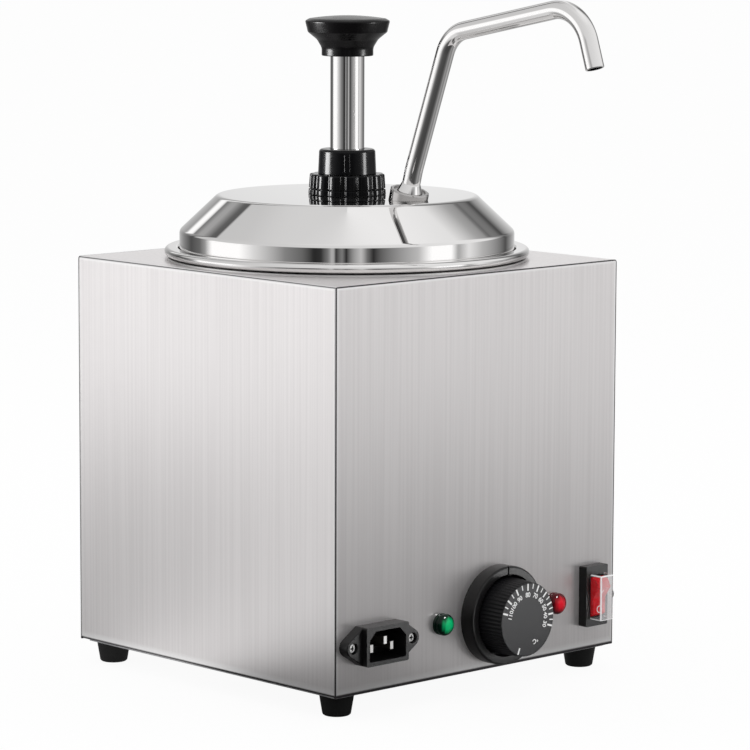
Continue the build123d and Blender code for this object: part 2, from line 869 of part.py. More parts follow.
def m3_nuts():
    """Nuts of the cut-out's studs, the inlet's screws and the earth screw."""
    blank = nut(m3_nut_flats, m3_nut_height, m3_radius)
    level = cutout_bracket_top() - cutout_bracket_gauge - m3_nut_height
    nuts = [Pos(x, y, level) * blank for x, y in cutout_studs()]
    for side in (-1, 1):
        place = Pos(inlet_x + side * inlet_screw_spread, panel_back, inlet_height)
        nuts.append(place * Rot(-90, 0, 0) * blank)
    y, z = earth_screw_place()
    nuts.append(Pos(earth_tag_face() - earth_tag_gauge - m3_nut_height, y, z) * Rot(0, 90, 0) * blank)
    return group(*nuts)


# ---------------------------------------------------------------- thermostat
def thermostat_body():
    """Capillary thermostat behind the panel, with its mounting plate and bush."""
    back = panel_back + thermostat_plate
    half = thermostat_plate_width / 2
    tall = thermostat_height / 2
    z = (controls_height - tall, controls_height + tall)
    body = block((bezel_x - half, bezel_x + half), (panel_back, back), z)
    wide = thermostat_width / 2
    body += block((bezel_x - wide, bezel_x + wide), (back, back + thermostat_depth), z)
    body += bar_y(thermostat_bush_radius, front - bezel_floor, panel_back, bezel_x, controls_height)
    body -= bar_y(spindle_radius + spindle_play, front - bezel_floor, panel_back + thermostat_depth / 2,
                  bezel_x, controls_height)
    for side in (-1, 1):
        body -= bar_y(m4_radius + screw_hole_play, panel_back, panel_back + thermostat_screw_length,
                      bezel_x + side * thermostat_screw_spread, controls_height)
    return body


def thermostat_back():
    """Rear face of the thermostat."""
    return panel_back + thermostat_plate + thermostat_depth


def thermostat_capillary():
    """Sensing bulb under the tank with its capillary, led to the thermostat's back."""
    z_bulb = tank_under - bulb_radius
    bulb = bar_x(bulb_radius, bulb_x - bulb_length / 2, bulb_x + bulb_length / 2, bulb_y, z_bulb)
    start = (bulb_x + bulb_length / 2, bulb_y, z_bulb)
    x_end = bezel_x + thermostat_width / 4
    z_end = controls_height + thermostat_height / 4
    y_end = thermostat_back()
    points = (
        start,
        (start[0] + capillary_lead, bulb_y, z_bulb),
        (x_end, y_end + capillary_lead, (z_bulb + z_end) / 2),
        (x_end, y_end + capillary_lead / 2, z_end),
        (x_end, y_end, z_end),
    )
    return bulb + swept_rod(FilletPolyline(*points, radius=capillary_bend), capillary_radius)


def bulb_clips():
    """Spring clips that hold the bulb against the tank."""
    z_bulb = tank_under - bulb_radius
    inner = bulb_radius + screw_hole_play
    outer = inner + clip_gauge
    clips = []
    for side in (-1, 1):
        x_middle = bulb_x + side * bulb_length / 4
        x = (x_middle - clip_width / 2, x_middle + clip_width / 2)
        clip = block(x, (bulb_y - outer, bulb_y + outer), (z_bulb, tank_under))
        clip += bar_x(outer, *x, bulb_y, z_bulb)
        clip += block(x, (bulb_y - 2 * outer, bulb_y + 2 * outer), (tank_under - clip_gauge, tank_under))
        clip -= block(x, (bulb_y - inner, bulb_y + inner), (z_bulb, tank_under))
        clip -= bar_x(inner, *x, bulb_y, z_bulb)
        clips.append(clip - block(x, (bulb_y - outer, bulb_y + outer), (tank_under, tank_under + outer)))
    return group(*clips)


def thermostat_bezel():
    """Raised ring round the knob, with an index notch at the top."""
    rim = front - bezel_depth
    floor = front - bezel_floor
    ring = bar_y(bezel_radius, rim, front, bezel_x, controls_height)
    edge = ring.edges().filter_by(GeomType.CIRCLE).sort_by(Axis.Y)[0]
    ring = fillet(edge, bezel_edge)
    ring -= bar_y(bezel_recess_radius, rim, floor, bezel_x, controls_height)
    ring -= bar_y(thermostat_bush_radius + panel_cut_play, floor, front, bezel_x, controls_height)
    for side in (-1, 1):
        ring -= bar_y(m4_radius + screw_hole_play, floor, front, bezel_x + side * thermostat_screw_spread,
                      controls_height)
    half = bezel_notch_width / 2
    z = (controls_height + bezel_recess_radius - cut_past, controls_height + bezel_radius + cut_past)
    return ring - block((bezel_x - half, bezel_x + half), (rim, rim + bezel_notch_depth), z)


def thermostat_screws():
    """Two screws through the bezel and the panel into the thermostat."""
    screw = OUT_OF_FRONT * pan_screw(m4_radius, m4_head_radius, thermostat_screw_head, thermostat_screw_length)
    places = [bezel_x + side * thermostat_screw_spread for side in (-1, 1)]
    return group(*[Pos(x, front - bezel_floor, controls_height) * screw for x in places])


def thermostat_spindle():
    """Flatted spindle that carries the knob."""
    tip = front - bezel_floor - knob_running_gap - knob_socket_depth
    inner = panel_back + thermostat_depth / 2 - knob_running_gap
    spindle = bar_y(spindle_radius, tip, inner, bezel_x, controls_height)
    flat = block((bezel_x - spindle_radius, bezel_x + spindle_radius),
                 (tip, front - bezel_floor - knob_running_gap),
                 (controls_height + spindle_radius - spindle_flat, controls_height + spindle_radius))
    return spindle - flat


def temperature_knob():
    """Ribbed knob, tapered towards its flat dial face."""
    back = front - bezel_floor - knob_running_gap
    face = front - knob_reach
    length = back - face
    count = 2 * knob_ribs
    rim = []
    for i in range(count):
        angle = 2 * pi * i / count
        radius = knob_base_radius - (knob_rib_depth if i % 2 else 0)
        rim.append((radius * cos(angle), radius * sin(angle)))
    outline = make_face(Polyline(*rim, close=True))
    taper = (knob_base_radius - knob_face_radius) / length
    knob = extrude(outline, length, taper=taper * 180 / pi)
    knob -= post(knob_recess_radius, 0, knob_recess_depth) - post(knob_hub_radius, 0, knob_recess_depth)
    socket = post(spindle_radius + spindle_play, 0, knob_socket_depth + 2 * spindle_play)
    flat = spindle_radius - spindle_flat + spindle_play
    socket -= block((-spindle_radius, spindle_radius), (flat, 2 * spindle_radius), (0, 2 * knob_socket_depth))
    knob -= socket
    return Pos(bezel_x, back, controls_height) * OUT_OF_FRONT * knob


# ---------------------------------------------------------------- lamps
def lamp_lens(x):
    """Domed lens with a collar and a groove."""
    groove_bottom, groove_top = lamp_groove_levels
    shoulder, dome_foot = lamp_shoulder_levels
    outline = Polyline((0, 0), (lamp_lens_radius, 0), (lamp_lens_radius, lamp_collar_top),
                       (lamp_groove_radius, groove_bottom), (lamp_groove_radius, groove_top),
                       (lamp_lens_radius, shoulder), (lamp_lens_radius, dome_foot))
    cap = dome(lamp_lens_radius, dome_foot, lamp_lens_height)
    closing = Line((0, lamp_lens_height), (0, 0))
    lens = revolve(Plane.XZ * make_face([*outline.edges(), cap, closing]), Axis.Z)
    return Pos(x, front, controls_height) * OUT_OF_FRONT * lens


def lamp_bodies():
    """Lamp holders behind the lenses, each with two pins."""
    bodies = []
    end = front + lamp_body_length
    for x in lamp_positions.values():
        body = bar_y(lamp_body_radius, front, end, x, controls_height)
        for side in (-1, 1):
            x_pin = x + side * lamp_pin_spread
            body += bar_y(lamp_pin_radius, end, end + lamp_pin_length, x_pin, controls_height)
        bodies.append(body)
    return group(*bodies)


def lamp_nuts():
    """Nuts that hold the lamps to the panel."""
    blank = nut(lamp_nut_flats, lamp_nut_height, lamp_body_radius)
    blank = Rot(-90, 0, 0) * blank
    return group(*[Pos(x, panel_back, controls_height) * blank for x in lamp_positions.values()])


# ---------------------------------------------------------------- power switch
def switch_housing():
    """Switch body with its raised frame and the well for the rocker."""
    half = switch_frame_width / 2
    tall = switch_frame_height / 2
    frame = block((switch_x - half, switch_x + half), (frame_face, front),
                  (switch_height - tall, switch_height + tall))
    frame = fillet(frame.edges().filter_by(Axis.Y), switch_frame_edge)
    half = switch_body_width / 2
    tall = switch_body_height / 2
    frame += block((switch_x - half, switch_x + half), (front, front + switch_body_depth),
                   (switch_height - tall, switch_height + tall))
    half = switch_well_width / 2
    tall = switch_well_height / 2
    frame -= block((switch_x - half, switch_x + half), (frame_face, frame_face + switch_well_depth),
                   (switch_height - tall, switch_height + tall))
    reach = rocker_width / 2 + trunnion_length + trunnion_play * 2
    return frame - bar_x(trunnion_radius + trunnion_play, switch_x - reach, switch_x + reach,
                         frame_face + rocker_pivot_depth, switch_height)


def switch_rocker():
    """Rocker with two ridges, shown tipped to its OFF side."""
    upper = [
        (rocker_valley_reach, 0),
        (rocker_ridge_reach, rocker_ridge_height),
        (-rocker_pivot_depth / 2, rocker_half_height),
        (-rocker_pivot_depth, rocker_half_height),
        (-rocker_root_depth, rocker_root_half_height),
    ]
    lower = [(reach, -height) for reach, height in upper[:0:-1]]
    outline = [(-(reach + rocker_pivot_depth), height) for reach, height in upper + lower]
    face = make_face(Polyline(*outline, close=True))
    rocker = Pos(-rocker_width / 2, 0, 0) * extrude(Plane.YZ * face, rocker_width)
    reach = rocker_width / 2 + trunnion_length
    rocker += bar_x(trunnion_radius, -reach, reach, 0, 0)
    return Pos(switch_x, frame_face + rocker_pivot_depth, switch_height) * Rot(rocker_tilt, 0, 0) * rocker


def switch_cover():
    """Clear splash cover over the rocker, closed at the front."""
    half = switch_well_width / 2 + cover_well_play
    tall = switch_well_height / 2 + cover_well_play
    outer = block((switch_x - half - cover_wall, switch_x + half + cover_wall),
                  (frame_face - cover_reach, frame_face),
                  (switch_height - tall - cover_wall, switch_height + tall + cover_wall))
    outer = fillet(outer.edges().filter_by(Axis.Y) + outer.edges().group_by(Axis.Y)[0], cover_edge)
    inside = (frame_face - cover_reach + cover_wall, frame_face)
    return outer - block((switch_x - half, switch_x + half), inside,
                         (switch_height - tall, switch_height + tall))


# ---------------------------------------------------------------- mains inlet
def mouth_face():
    """Opening of the inlet: a rectangle with its two upper corners cut off."""
    outline = Rectangle(inlet_mouth_width, inlet_mouth_height)
    outline = chamfer(outline.vertices().group_by(Axis.Y)[-1], inlet_mouth_chamfer)
    return fillet(outline.vertices().group_by(Axis.Y)[0], inlet_mouth_corner)


def inlet_housing():
    """Mains inlet: flange with two ears, raised mouth and rear body."""
    shroud = fillet(Rectangle(inlet_width, inlet_body_height).vertices(), inlet_corner)
    ears = [Pos(side * inlet_screw_spread, 0) * Circle(inlet_tip_radius) for side in (-1, 1)]
    flange = make_hull([*shroud.edges(), *ears[0].edges(), *ears[1].edges()])
    housing = extrude(flange, inlet_flange_thickness)
    housing = fillet(housing.edges().group_by(Axis.Z)[-1], inlet_edge)
    housing += extrude(shroud, inlet_reach)
    x, z = inlet_outline()
    rear = block(x, (front, panel_back + inlet_rear_depth), z)
    for side in (-1, 1):
        x_screw = side * inlet_screw_spread
        housing -= post(m3_radius + screw_hole_play, 0, inlet_flange_thickness, x_screw)
        seat = inlet_flange_thickness - inlet_screw_recess - m3_head_height
        housing -= post(m3_head_radius + inlet_screw_play, seat, inlet_flange_thickness, x_screw)
    place = Pos(inlet_x, front, inlet_height) * OUT_OF_FRONT
    housing = place * housing + rear
    housing -= place * Pos(0, 0, inlet_reach - inlet_mouth_depth) * extrude(mouth_face(), inlet_mouth_depth)
    for x_pin, z_pin, tip in inlet_pin_places():
        housing -= pin_block(x_pin, z_pin, tip, pin_play)
    return housing


def inlet_pin_places():
    """Live, earth and neutral pins as (x, z, y of the tip)."""
    tip = front - inlet_reach + pin_depth
    return (
        (inlet_x - pin_spacing, inlet_height - live_pin_drop, tip),
        (inlet_x, inlet_height + earth_pin_rise, tip - earth_pin_lead),
        (inlet_x + pin_spacing, inlet_height - live_pin_drop, tip),
    )


def pin_end():
    """Depth at which the pins' tails end."""
    return panel_back + inlet_rear_depth + pin_tail


def pin_block(x, z, tip, grow=0.0):
    """One inlet pin, or the slot it sits in."""
    half = pin_width / 2 + grow
    tall = pin_height / 2 + grow
    return block((x - half, x + half), (tip, pin_end()), (z - tall, z + tall))


def inlet_pins():
    """Three flat pins with tails for the wires."""
    return group(*[pin_block(x, z, tip) for x, z, tip in inlet_pin_places()])


def inlet_screws():
    """Screws of the inlet's ears."""
    grip = inlet_flange_thickness - inlet_screw_recess - m3_head_height
    length = grip + casing_gauge + m3_nut_height + thread_past_nut
    screw = pan_screw(m3_radius, m3_head_radius, m3_head_height, length)
    places = [inlet_x + side * inlet_screw_spread for side in (-1, 1)]
    return group(*[Pos(x, front - grip, inlet_height) * OUT_OF_FRONT * screw for x in places])


# ---------------------------------------------------------------- terminals and wires
def switch_blade_places():
    """Switch blades as (x, z): neutral in, neutral out, live in, live out."""
    x = (switch_x - switch_blade_x, switch_x + switch_blade_x)
    z = (switch_height - switch_blade_z, switch_height + switch_blade_z)
    return (x[0], z[0]), (x[0], z[1]), (x[1], z[0]), (x[1], z[1])


def thermostat_blade_places():
    """Two thermostat blades as (x, z)."""
    z = controls_height - thermostat_height / 4
    return [(bezel_x + x, z) for x in thermostat_blade_x]


def cutout_blade_places():
    """Two cut-out blades as (x, y)."""
    return [(cutout_x + side * cutout_blade_x, cutout_y) for side in (-1, 1)]


def cutout_bottom():
    """Underside of the cut-out's body."""
    return cutout_bracket_top() - cutout_body_height


def blade_terminals():
    """Push-on blades of the switch, the thermostat, the cut-out and the heater."""
    rearward = Rot(-90, 0, 0) * Rot(0, 0, 90)
    downward = Rot(180, 0, 0)
    blades = [blade(x, front + switch_body_depth, z, rearward) for x, z in switch_blade_places()]
    blades += [blade(x, thermostat_back(), z, rearward) for x, z in thermostat_blade_places()]
    blades += [blade(x, y, cutout_bottom(), downward * Rot(0, 0, 90)) for x, y in cutout_blade_places()]
    blades += [blade(x, y, heater_leg_bottom, downward) for x, y in heater_legs()]
    return group(*blades)


def wire(*points):
    """Insulated wire with rounded turns."""
    return swept_rod(FilletPolyline(*points, radius=wire_bend), wire_radius)


def inlet_ends():
    """Where the wires meet the inlet's live, earth and neutral pins."""
    return [(x, pin_end() + wire_end_gap, z) for x, z, _ in inlet_pin_places()]


def switch_ends():
    """Where the wires meet the switch's blades."""
    y = front + switch_body_depth + blade_length + wire_end_gap
    return [(x, y, z) for x, z in switch_blade_places()]


def heater_ends():
    """Where the wires meet the heater's blades."""
    return [(x, y, heater_leg_bottom - blade_length - wire_end_gap) for x, y in heater_legs()]


def feed_wire(start, end, run_y, run_z):
    """Wire from an inlet pin across the bottom of the casing to a switch blade."""
    return wire(start, (start[0], run_y, start[2]), (start[0], run_y, run_z),
                (end[0], run_y, run_z), (end[0], run_y, end[2]), end)


def live_wires():
    """Inlet to switch, switch to thermostat, thermostat to cut-out and cut-out to heater."""
    switch = switch_ends()
    y_thermostat = thermostat_back() + blade_length + wire_end_gap
    thermostat = [(x, y_thermostat, z) for x, z in thermostat_blade_places()]
    cutout = [(x, y, cutout_bottom() - blade_length - wire_end_gap) for x, y in cutout_blade_places()]
    feed = feed_wire(inlet_ends()[0], switch[2], live_run_y, casing_bottom + live_run_rise)
    start, end = switch[3], thermostat[1]
    level = start[2] + thermostat_run_lift
    to_thermostat = wire(start, (start[0], thermostat_run_y, start[2]), (start[0], thermostat_run_y, level),
                         (end[0], thermostat_run_y, level), (end[0], thermostat_run_y, end[2]), end)
    start, end = thermostat[0], cutout[0]
    level = start[2] - cutout_run_drop
    to_cutout = wire(start, (start[0], thermostat_run_y, start[2]), (start[0], end[1], level),
                     (end[0], end[1], level), end)
    start, end = cutout[1], heater_ends()[1]
    level = start[2] - heater_live_sag
    to_heater = wire(start, (start[0], start[1], level), (start[0], end[1], level),
                     (end[0], end[1], level), end)
    return group(feed, to_thermostat, to_cutout, to_heater)


def neutral_wires():
    """Inlet to switch and switch to heater."""
    switch = switch_ends()
    feed = feed_wire(inlet_ends()[2], switch[0], neutral_run_y, casing_bottom + neutral_run_rise)
    start, end = switch[1], heater_ends()[0]
    level = end[2] - heater_neutral_sag
    turn = end[1] + neutral_turn_clear
    back = wire(start, (start[0], neutral_turn_y, start[2]), (start[0], turn, level),
                (end[0], turn, level), (end[0], end[1], level), end)
    return group(feed, back)


def earth_wire():
    """Inlet's earth pin to the tag on the casing's side."""
    y, z = earth_screw_place()
    end = (earth_tag_face() - wire_radius - wire_end_gap, y + earth_tag_length + wire_end_gap, z)
    return feed_wire(inlet_ends()[1], end, earth_run_y, casing_bottom + earth_run_rise)


# ---------------------------------------------------------------- pot and lid
def food_pot():
    """Spun pot: hollow folded rim, seat for the lid and a flat floor."""
    half = pot_gauge / 2
    rim = pot_rim_radius - half
    throat = pot_throat_radius + half
    wall = pot_radius + half
    top = pot_rim_top - half
    shoulder = pot_shoulder_top - half
    floor = pot_floor_height - half
    points = ((rim, pot_rim_bottom), (rim, top), (throat, top), (throat, shoulder), (wall, shoulder),
              (wall, floor), (0, floor))
    return spun_sheet(points, (*pot_rim_bends, pot_corner), pot_gauge)


def lid():
    """Spun lid with an upright skirt, a steep bevel and a flat top with two holes."""
    half = lid_gauge / 2
    skirt = lid_skirt_radius - half
    top = lid_top - half
    points = ((skirt, lid_bottom), (skirt, lid_shoulder_height), (lid_top_radius, top), (0, top))
    cover = spun_sheet(points, (lid_shoulder_bend, lid_top_bend), lid_gauge)
    through = (lid_under - cut_past, lid_top + cut_past)
    cover -= post(cylinder_radius + seat_gap, *through)
    return cover - post(union_radius + union_hole_play, *through, 0, -spout_hole_setback)


# ---------------------------------------------------------------- pump
def pump_cylinder():
    """Pump tube with a flange that draws up under the lid."""
    flange_top = lid_under - gasket_thickness
    body = post(cylinder_radius, cylinder_bottom, cylinder_top)
    body += post(cylinder_flange_radius, flange_top - cylinder_flange_thickness, flange_top)
    return body - post(cylinder_bore, cylinder_bottom, cylinder_top)


def pump_gasket():
    """Silicone ring between the cylinder's flange and the lid."""
    level = (lid_under - gasket_thickness, lid_under)
    return pipe(cylinder_flange_radius, cylinder_radius + thread_play, *level)


def pump_nut():
    """Fluted nut that clamps the pump to the lid, with a plain groove near its foot."""
    body = turned((0, 0), (nut_bottom_radius, 0), (nut_top_radius, nut_height), (0, nut_height))
    lean = atan2(nut_bottom_radius - nut_top_radius, nut_height) * 180 / pi
    reach = nut_bottom_radius + nut_flute_radius - nut_flute_depth
    flute = Pos(reach, 0, 0) * Rot(0, -lean, 0) * post(nut_flute_radius, -cut_past, nut_height + cut_past)
    for i in range(nut_lobes):
        body -= Rot(0, 0, nut_flute_azimuth + 360 * i / nut_lobes) * flute
    groove = nut_bottom_radius - nut_groove_depth
    body -= pipe(nut_bottom_radius + cut_past, groove, nut_band_height, nut_band_height + nut_band_groove)
    return Pos(0, 0, lid_top) * (body - post(cylinder_radius + thread_play, 0, nut_height))


def pump_collar():
    """Guide collar that plugs into the cylinder and guides the plunger."""
    body = turned((0, collar_bottom), (collar_bottom_radius, collar_bottom), (collar_top_radius, collar_top),
                  (0, collar_top))
    edge = body.edges().filter_by(GeomType.CIRCLE).sort_by(Axis.Z)[-1]
    body = fillet(edge, collar_edge)
    key = block((-collar_key_width / 2, collar_key_width / 2),
                (-collar_bottom_radius - collar_key_depth / 2, -collar_top_radius + collar_key_root),
                (collar_bottom, collar_bottom + collar_key_height))
    body += Rot(0, 0, collar_key_azimuth) * key
    body += post(cylinder_bore - thread_play, collar_bottom - collar_spigot, collar_bottom)
    return body - post(plunger_radius + plunger_play, collar_bottom - collar_spigot, collar_top)


def plunger_tube():
    """Polished plunger tube from the piston up into the press knob."""
    top = press_knob_bottom + press_knob_socket - seat_gap
    return pipe(plunger_radius, plunger_radius - plunger_wall, plunger_bottom, top)


def press_knob():
    """Mushroom knob with a flared neck and a low dome."""
    flare_out, flare_up = press_knob_flare_point
    shoulder_in, shoulder_up = press_knob_shoulder
    profile = Polyline((0, press_knob_bottom), (press_knob_neck_radius, press_knob_bottom),
                       (press_knob_neck_radius, press_knob_neck_top))
    flare = ThreePointArc((press_knob_neck_radius, press_knob_neck_top),
                          (press_knob_neck_radius + flare_out, press_knob_neck_top + flare_up),
                          (press_knob_edge_bottom_radius, press_knob_edge_bottom))
    edge = Line((press_knob_edge_bottom_radius, press_knob_edge_bottom),
                (press_knob_radius, press_knob_edge_top))
    shoulder = (press_knob_radius - shoulder_in, press_knob_edge_top + shoulder_up)
    rim = Line((press_knob_radius, press_knob_edge_top), shoulder)
    cap = dome(*shoulder, press_knob_top)
    closing = Line((0, press_knob_top), (0, press_knob_bottom))
    face = make_face([*profile.edges(), flare, edge, rim, cap, closing])
    knob = revolve(Plane.XZ * face, Axis.Z)
    return knob - post(plunger_radius + thread_play, press_knob_bottom, press_knob_bottom + press_knob_socket)


def seal_levels():
    """Bottoms of the two piston seals."""
    gap = (piston_length - 2 * seal_section) / 3
    return piston_bottom + gap, piston_bottom + 2 * gap + seal_section


def piston():
    """Piston with two seal grooves and a spigot inside the plunger tube."""
    body = post(piston_radius, piston_bottom, plunger_bottom)
    for level in seal_levels():
        body -= pipe(piston_radius, piston_groove_radius, level, level + seal_section)
    spigot = plunger_radius - plunger_wall - thread_play
    return body + post(spigot, plunger_bottom, plunger_bottom + piston_spigot)


def piston_seals():
    """Two seal rings that run in the cylinder."""
    size = (cylinder_bore - seal_play, piston_groove_radius + seal_side_play)
    height = seal_section - 2 * seal_side_play
    levels = [level + seal_side_play for level in seal_levels()]
    return group(*[pipe(*size, level, level + height) for level in levels])


def return_spring():
    """Coil spring under the piston."""
    bottom = cylinder_bottom + spring_wire / 2 + spring_end_gap
    height = piston_bottom - spring_end_gap - spring_wire / 2 - bottom
    path = Helix(pitch=height / spring_turns, height=height, radius=spring_radius, center=(0, 0, bottom))
    section = Plane(origin=path @ 0, z_dir=path % 0) * Circle(spring_wire / 2)
    return sweep(section, path, is_frenet=True)


def intake_seat():
    """Level of the intake seat's edge."""
    return valve_bottom + intake_length


def ball_rest(seat, ball_radius, bore):
    """Height of a ball's centre when it rests on the edge of a bore."""
    return seat + sqrt(ball_radius ** 2 - bore ** 2) + ball_seat_gap


def valve_body():
    """Pump foot: intake valve under the cylinder and an outlet boss beside it."""
    outer = cylinder_radius + valve_wall
    socket_top = cylinder_bottom + valve_socket_depth
    body = post(outer, valve_bottom, socket_top)
    web_bottom = outlet_passage_height - outlet_passage_radius - valve_wall
    half = outlet_web_half_width
    body += block((-half, half), (-outlet_axis, 0), (web_bottom, socket_top))
    body += post(outlet_boss_radius, web_bottom, outlet_boss_top, 0, -outlet_axis)
    body -= post(cylinder_radius + screw_hole_play / 2, cylinder_bottom, socket_top)
    body -= post(intake_bore, valve_bottom, intake_seat())
    body -= post(intake_chamber_radius, intake_seat(), cylinder_bottom)
    body -= bar_y(outlet_passage_radius, -outlet_axis, 0, 0, outlet_passage_height)
    body -= post(discharge_bore, outlet_passage_height, discharge_seat_height, 0, -outlet_axis)
    body -= post(discharge_chamber_radius, discharge_seat_height, outlet_boss_top, 0, -outlet_axis)
    rest = ball_rest(intake_seat(), intake_ball_radius, intake_bore)
    pin = rest + intake_ball_radius + intake_ball_lift + seat_gap + cage_pin_radius
    reach = intake_chamber_radius + cage_pin_hold
    body += bar_x(cage_pin_radius, -reach, reach, 0, pin)
    rest = ball_rest(discharge_seat_height, discharge_ball_radius, discharge_bore)
    pin = rest + discharge_ball_radius + discharge_ball_lift + seat_gap + discharge_pin_radius
    reach = discharge_chamber_radius + cage_pin_hold
    return body + bar_x(discharge_pin_radius, -reach, reach, -outlet_axis, pin)


def intake_ball():
    """Steel ball of the intake valve."""
    centre = ball_rest(intake_seat(), intake_ball_radius, intake_bore)
    return Pos(0, 0, centre) * Sphere(intake_ball_radius)


def discharge_ball():
    """Steel ball of the discharge valve."""
    centre = ball_rest(discharge_seat_height, discharge_ball_radius, discharge_bore)
    return Pos(0, -outlet_axis, centre) * Sphere(discharge_ball_radius)


# ---------------------------------------------------------------- spout
def spout_frame():
    """Place at the lid's spout hole, tilted forward with the pipe's foot."""
    return Pos(0, -spout_hole_setback, lid_top) * Rot(spout_foot_tilt, 0, 0)


def along_spout(distance):
    """Point on the tilted axis, measured from the lid's top."""
    tilt = radians(spout_foot_tilt)
    return Vector(0, -spout_hole_setback - distance * sin(tilt), lid_top + distance * cos(tilt))


def bored_pipe(path):
    """Pipe along a path."""
    return swept_rod(path, pipe_radius) - swept_rod(path, pipe_bore)


def riser_tube():
    """Pipe from the pump's outlet to the lid, ending in a threaded union with a flange."""
    bottom = outlet_boss_top - riser_insertion
    drop = (spout_hole_setback - outlet_axis) / tan(radians(spout_foot_tilt))
    corner = (0, -outlet_axis, lid_top - drop)
    path = FilletPolyline((0, -outlet_axis, bottom), corner, along_spout(0), radius=riser_bend)
    flange_top = lid_under - gasket_thickness
    flange_bottom = flange_top - union_flange_thickness
    setback = along_spout(-lid_gauge - gasket_thickness - union_flange_thickness / 2).Y
    below = block((-casing_width, casing_width), (-casing_depth, casing_depth), (0, flange_bottom))
    stub = spout_frame() * post(union_radius, -union_stub_depth, union_height)
    body = (stub - below) + swept_rod(path, pipe_radius)
    body += post(union_flange_radius, flange_bottom, flange_top, 0, setback)
    body -= swept_rod(path, pipe_bore)
    return body - spout_frame() * post(pipe_bore, -cut_past, union_height)


def spout_seal():
    """Silicone ring between the union's flange and the lid."""
    setback = along_spout(-lid_gauge - gasket_thickness / 2).Y
    hole = union_radius + union_hole_play
    return pipe(union_flange_radius, hole, lid_under - gasket_thickness, lid_under, 0, setback)


def spout_nut():
    """Twelve-sided union nut, tilted with the pipe and cut level with the lid."""
    body = prism(spout_nut_sides, spout_nut_radius, -spout_nut_height, spout_nut_height)
    rim = body.edges().group_by(Axis.Z)[-1]
    body = chamfer(rim, spout_nut_chamfer)
    body -= post(union_radius + thread_play, -spout_nut_height, spout_nut_height - spout_nut_lip)
    body -= post(pipe_flare_radius + pipe_flare_play, 0, spout_nut_height)
    recess = (spout_nut_height - spout_nut_recess, spout_nut_height)
    body -= pipe(spout_nut_radius - spout_nut_rim, pipe_flare_radius, *recess)
    under = block((-casing_width, casing_width), (-casing_depth, casing_depth), (0, lid_top))
    return spout_frame() * body - under


def spout_tube():
    """Bent delivery pipe with the flared foot that the union nut holds down."""
    foot = union_height + pipe_collar_gap
    start = along_spout(foot)
    corners = [Vector(0, -y, lid_top + z) for y, z in (spout_first_corner, spout_second_corner, spout_tip)]
    path = FilletPolyline(start, along_spout(spout_foot_length), *corners, radius=spout_bends)
    top = foot + pipe_collar_thickness
    foot_solid = turned((0, foot), (pipe_collar_radius, foot), (pipe_collar_radius, top),
                        (pipe_flare_radius, top), (pipe_flare_radius, spout_nut_height - spout_nut_recess),
                        (pipe_radius - pipe_flare_merge, top + pipe_flare_length), (0, top + pipe_flare_length))
    body = swept_rod(path, pipe_radius) + spout_frame() * foot_solid
    return body - swept_rod(path, pipe_bore)


# ---------------------------------------------------------------- one file for each sub-part
def all_parts():
    """Every node by name."""
    parts = {
        "casing_wrap": casing_wrap(),
        "front_panel": front_panel(),
        "back_panel": back_panel(),
        "bottom_plate": bottom_plate(),
        "casing_screws": casing_screws(),
        "foot_screws": foot_screws(),
        "m4_nuts": m4_nuts(),
        "m3_nuts": m3_nuts(),
        "earth_screw": earth_screw(),
        "earth_tag": earth_tag(),
        "water_tank": water_tank(),
        "heating_element": heating_element(),
        "heater_washers": heater_washers(),
        "heater_nuts": heater_nuts(),
        "overheat_cutout": overheat_cutout(),
        "cutout_bracket": cutout_bracket(),
        "thermostat_body": thermostat_body(),
        "thermostat_capillary": thermostat_capillary(),
        "bulb_clips": bulb_clips(),
        "thermostat_bezel": thermostat_bezel(),
        "thermostat_screws": thermostat_screws(),
        "thermostat_spindle": thermostat_spindle(),
        "temperature_knob": temperature_knob(),
        "lamp_bodies": lamp_bodies(),
        "lamp_nuts": lamp_nuts(),
        "switch_housing": switch_housing(),
        "switch_rocker": switch_rocker(),
        "switch_cover": switch_cover(),
        "inlet_housing": inlet_housing(),
        "inlet_pins": inlet_pins(),
        "inlet_screws": inlet_screws(),
        "blade_terminals": blade_terminals(),
        "live_wires": live_wires(),
        "neutral_wires": neutral_wires(),
        "earth_wire": earth_wire(),
        "food_pot": food_pot(),
        "lid": lid(),
        "pump_cylinder": pump_cylinder(),
        "pump_gasket": pump_gasket(),
        "pump_nut": pump_nut(),
        "pump_collar": pump_collar(),
        "valve_body": valve_body(),
        "intake_ball": intake_ball(),
        "discharge_ball": discharge_ball(),
        "riser_tube": riser_tube(),
        "spout_seal": spout_seal(),
        "spout_nut": spout_nut(),
        "spout_tube": spout_tube(),
        "plunger_tube": plunger_tube(),
        "press_knob": press_knob(),
        "piston": piston(),
        "piston_seals": piston_seals(),
        "return_spring": return_spring(),
    }
    for name, place in foot_places().items():
        parts[name] = foot(*place)
    for name, x in lamp_positions.items():
        parts[f"{name}_lamp_lens"] = lamp_lens(x)
    return parts


os.makedirs("parts", exist_ok=True)
for node, shape in all_parts().items():
    export_step(shape, f"parts/{node}.step")
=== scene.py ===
"""Looks of the hot topping warmer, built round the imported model.

Lengths are millimetres in the row frame until a mesh is made, and metres after that.
"""

import bmesh
import bpy
import json
from math import atan2, cos, pi, radians, sin, sqrt, tan
from mathutils import Matrix, Vector

